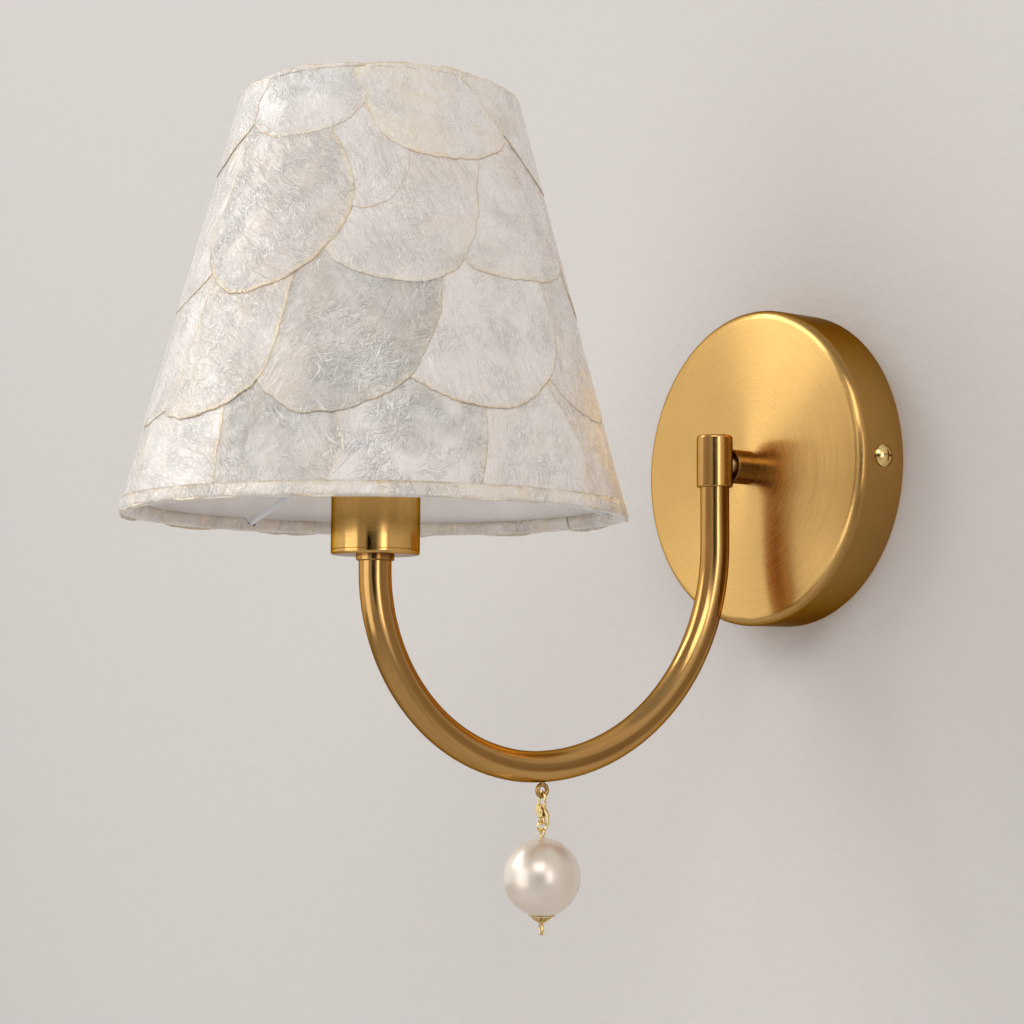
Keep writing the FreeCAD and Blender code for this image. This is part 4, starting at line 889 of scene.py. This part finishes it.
def clasp_body():
    """The hook, two cheeks with a spine between them, and the loop at the tail."""
    built = Builder()
    hook = arc((0, PENDANT_Y, HOOK_Z), 1.9, -25, 180, 40)
    hook += [(-1.9, PENDANT_Y, HOOK_Z - 0.6 * step) for step in range(1, 6)]
    hook += [(-1.8, PENDANT_Y, HOOK_Z - 3.6)]
    built.tube(hook, [0.44 + 0.16 * min(index / 14, 1.0) for index in range(len(hook))], 20)
    cheek = above_rivet([
        (-2.5, 2.0), (-1.3, 2.2), (0.4, 1.5), (1.5, 0.5), (1.4, -1.4), (0.9, -2.2),
        (-0.9, -2.2), (-1.9, -1.2), (-2.5, 0.6)])
    spine = above_rivet([
        (-2.45, 1.9), (-1.3, 2.1), (-0.95, 1.4), (-0.95, -1.55), (1.25, -1.55), (0.85, -2.15),
        (-0.85, -2.15), (-1.85, -1.15), (-2.45, 0.6)])
    for outline, back, front in ((cheek, 1.1, 0.55), (cheek, -0.55, -1.1), (spine, 0.6, -0.6)):
        built.plate(outline, PENDANT_Y + back, PENDANT_Y + front)
    built.tube(arc((0, PENDANT_Y, TAIL_Z), 1.2, 0, 360, 40)[:-1], *RING_WIRE, closed=True)
    soft_edges(pendant_piece("clasp_frame", built, "clasp", "clasp_body"), 0.13)


def clasp_lever():
    built = Builder()
    built.plate(above_rivet([
        (-0.4, 0.6), (0.75, 1.9), (1.25, 3.5), (2.2, 3.05), (2.0, 1.6), (1.9, 0.7), (3.1, 0.2),
        (3.9, -0.9), (4.1, -4.5), (3.4, -4.6), (3.2, -1.3), (2.3, -0.6), (0.5, -0.9),
        (-0.4, -0.5)]), PENDANT_Y + 0.45, PENDANT_Y - 0.45)
    soft_edges(pendant_piece("clasp_thumb_lever", built, "lever", "clasp_lever"), 0.16)


def clasp_rivet():
    built = Builder()
    head = [(0.45, 1.12), (0.75, 1.14), (0.68, 1.30), (0.4, 1.43), (0.02, 1.46)]
    profile = [(radius, -height) for radius, height in reversed(head)] + head
    built.lathe(profile, (RIVET_X, PENDANT_Y, RIVET_Z), "Y", 32)
    pendant_piece("clasp_pin", built, "clasp", "clasp_rivet")


def split_ring():
    """The jump ring, with its cut a little open at the side."""
    built = Builder()
    steps = 60
    path = arc((0, PENDANT_Y, RING_Z), 1.75, 24, 378, steps, "YZ")
    lean = [(0.10 * math.sin(math.pi * (index / steps - 0.5)), y, z)
            for index, (x, y, z) in enumerate(path)]
    built.tube(lean, *RING_WIRE)
    pendant_piece("split_ring", built, "ring", "jump_ring")


def eye_pin():
    """The pin through the pearl, with a loop bent at each end and the lower one twisted."""
    built = Builder()
    upper, lower, steps = 1.3, 1.7, 8
    built.tube(arc((0, PENDANT_Y, PIN_Z), upper, 268, -80, 48), *PIN_WIRE)
    top, bottom = PIN_Z - upper, CAP_LOW - 0.35
    built.tube(
        [(0, PENDANT_Y, top + (bottom - top) * step / steps) for step in range(steps + 1)],
        *PIN_WIRE)
    low = CAP_LOW - 0.03 - lower - PIN_WIRE[0]
    turn = math.radians(-16.0)
    built.tube(
        [(x * math.cos(turn), PENDANT_Y + x * math.sin(turn), z)
         for x, _, z in arc((0, PENDANT_Y, low), lower, 92, 436, 48)], *PIN_WIRE)
    pendant_piece("eye_pin", built, "pearl", "pearl_pin")


def filigree_cap():
    """A pierced cap: a small collar and wire petals, each with a rib and beads."""
    built = Builder()
    petals, steps = 8, 24

    def on_cap(reach, turn, lift=0.35):
        """A point just under the pearl, by its distance from the pin."""
        ball = PEARL_Z - math.sqrt((PEARL_R + lift) ** 2 - reach ** 2)
        dip = CAP_LOW + 0.45
        share = min(max((reach - 1.1) / 3.0, 0.0), 1.0)
        height = dip + (ball - dip) * (share * share * (3 - 2 * share))
        return round_upright(reach, turn, PENDANT_Y, height)

    built.lathe(
        [(0.46, 0.0), (1.0, 0.0), (1.25, 0.25), (1.2, 0.6), (0.46, 0.75)],
        (0, PENDANT_Y, CAP_LOW), steps=40)
    for index in range(petals):
        middle = math.tau * index / petals
        half = math.pi / petals * 0.88
        loop = []
        for step in range(steps):
            turn = math.tau * step / steps
            reach = 2.75 + 1.6 * math.cos(turn)
            loop.append(on_cap(reach, middle + half * math.sin(turn) * (0.55 + 0.16 * reach) / 1.1))
        built.tube(loop, 0.21, 8, closed=True)
        built.tube([on_cap(1.1 + 0.3 * step, middle) for step in range(9)], 0.15, 8)
        built.ball(on_cap(4.45, middle, 0.30), 0.27, 8)
        built.ball(on_cap(3.3, middle + math.pi / petals, 0.34), 0.22, 8)
    pendant_piece("filigree_cap", built, "pearl", "bead_cap")


for make in (clasp_body, clasp_lever, clasp_rivet, split_ring, eye_pin, filigree_cap):
    make()

# Stage: a pale backdrop behind the light and a pale floor far below, clear from behind ------

def stage_finish(name, colour, grain):
    made = Finish(name, Roughness=0.9)
    place = made.place()
    low = tuple(channel * 0.985 for channel in colour)
    made.set(Base_Color=made.mix(made.noise(place, 3.0, 3.0), low, colour),
             Normal=made.bump(made.noise(place, grain, 5.0), 0.5))
    hidden = made.math("MAXIMUM", made.node("NewGeometry", "Backfacing"),
                       made.node("LightPath", "Is Shadow Ray"))
    clear = made.node("BsdfTransparent", 0)
    shown = made.node("MixShader", 0, {0: hidden, 1: made.shader.outputs[0], 2: clear})
    made.put(made.tree.nodes["Material Output"].inputs["Surface"], shown)
    return made.material


# metres: the backdrop lies just behind the canopy's back, the floor far below
SIDE, TOP, FLOOR, BACK = 4, 3, -1.2, 0.0004


def stage_sheet(name, first, last, colour, grain):
    """A sheet between two level edges, each given by its y and z."""
    mesh = bpy.data.meshes.new(name)
    mesh.from_pydata(
        [(-SIDE, *first), (SIDE, *first), (SIDE, *last), (-SIDE, *last)], [], [(0, 1, 2, 3)])
    mesh.materials.append(stage_finish(name + "_paint", colour, grain))
    add_to_scene(name, mesh)


stage_sheet("backdrop", (BACK, FLOOR), (BACK, TOP), (0.660, 0.632, 0.613), 160.0)
stage_sheet("floor", (-SIDE, FLOOR), (0.001, FLOOR), (0.655, 0.630, 0.610), 90.0)

# Light --------

MIDDLE = (0.0, -0.11, 0.0)


def lamp(name, position, width, height, power, colour=(1.0, 1.0, 1.0), target=MIDDLE):
    data = bpy.data.lights.new(name, "AREA")
    data.shape, data.size, data.size_y = "RECTANGLE", width, height
    data.energy, data.color = power, colour
    thing = add_to_scene(name, data)
    aim = Vector(target) - Vector(position)
    thing.matrix_world = (
        Matrix.Translation(position) @ aim.to_track_quat("-Z", "Y").to_matrix().to_4x4())
    return thing


lamp("key", (-1.25, -1.75, 1.15), 1.3, 1.2, 11.2, (1.0, 0.985, 0.97))
lamp("high", (-1.45, -1.05, 1.55), 0.40, 0.40, 2.8, (1.0, 0.985, 0.97))
lamp("fill", (1.35, -1.45, 1.30), 1.3, 1.0, 10.6, (1.0, 0.99, 0.98))
lamp("front", (-0.15, -1.80, -0.05), 1.05, 1.5, 6.6)
lamp("right", (1.75, -0.45, 0.15), 0.40, 1.0, 2.6)
behind = lamp("behind", (0.0, 1.1, 0.3), 0.9, 0.9, 12.0, target=(0.0, 0.0, 0.0))

# The lamp behind the backdrop only lights what is seen from the back of the canopy.
seen_behind = bpy.data.collections.new("seen_from_behind")
for name in ("mounting_bracket", "terminal_block", "terminal_screws", "earth_screw",
             "lock_nut", "lock_washer", "lead_live", "lead_neutral", "canopy"):
    seen_behind.objects.link(nodes[name])
behind.light_linking.receiver_collection = seen_behind

# The world's level, and where it is brighter or darker: direction, the cosines between which
# the change fades in, and its amount.
LEVEL = 0.455
LOBES = (((-0.85, -0.50, 0.20), 0.55, 0.95, 0.50), ((0.97, -0.22, 0.10), 0.70, 0.96, 0.42),
         ((0.79, -0.61, 0.05), 0.945, 0.99, -0.75), ((0.1, 0.95, -0.1), 0.10, 0.60, -0.28),
         ((0.0, -0.1, -1.0), 0.30, 0.9, -0.20))


def studio():
    """Pale light from all round, brighter on the left and on the right, with a dark gap
    between the two and less behind the backdrop, so that the metal has something to show."""
    made = bpy.data.worlds.new("studio")
    bpy.context.scene.world = made
    made.use_nodes = True
    sky = Shading(made.node_tree)
    way = sky.node("TexCoord", "Generated")
    level = LEVEL
    for direction, start, end, amount in LOBES:
        aligned = sky.vector_math("DOT_PRODUCT", way, tuple(Vector(direction).normalized()))
        level = sky.plus(sky.fade(aligned, start, end, 0.0, amount), level)
    light = sky.tree.nodes["Background"]
    sky.put(light.inputs["Color"], (1.0, 0.975, 0.95))
    sky.put(light.inputs["Strength"], level)
    shown = sky.node("Background", 0, {"Color": (0.66, 0.63, 0.605)})
    seen = sky.node("LightPath", "Is Camera Ray")
    choice = sky.node("MixShader", 0, {0: seen, 1: light.outputs[0], 2: shown})
    sky.put(sky.tree.nodes["World Output"].inputs["Surface"], choice)


studio()

# Camera --------

# degrees, millimetres of lens and sensor, and millimetres in the object's frame
AZIMUTH, PITCH, ROLL = 55.64, 4.71, 0.40
LENS, SENSOR = 63.28, 36.0
CAMERA_AT = (510.98, -478.25, -73.50)


def photo_camera():
    azimuth, pitch, roll = (math.radians(angle) for angle in (AZIMUTH, PITCH, ROLL))
    ahead = Vector((
        -math.sin(azimuth) * math.cos(pitch), math.cos(azimuth) * math.cos(pitch),
        math.sin(pitch)))
    right = Vector((math.cos(azimuth), math.sin(azimuth), 0.0))
    above = right.cross(ahead)
    rolled_right = right * math.cos(roll) + above * math.sin(roll)
    rolled_above = above * math.cos(roll) - right * math.sin(roll)
    data = bpy.data.cameras.new("camera")
    data.sensor_fit, data.sensor_width, data.lens = "HORIZONTAL", SENSOR, LENS
    data.clip_start = 0.01
    thing = add_to_scene("camera", data)
    turned = Matrix((rolled_right, rolled_above, -ahead)).transposed().to_4x4()
    thing.matrix_world = Matrix.Translation(Vector(CAMERA_AT) * MM) @ turned
    bpy.context.scene.camera = thing


photo_camera()
bpy.context.scene.view_settings.view_transform = "Standard"
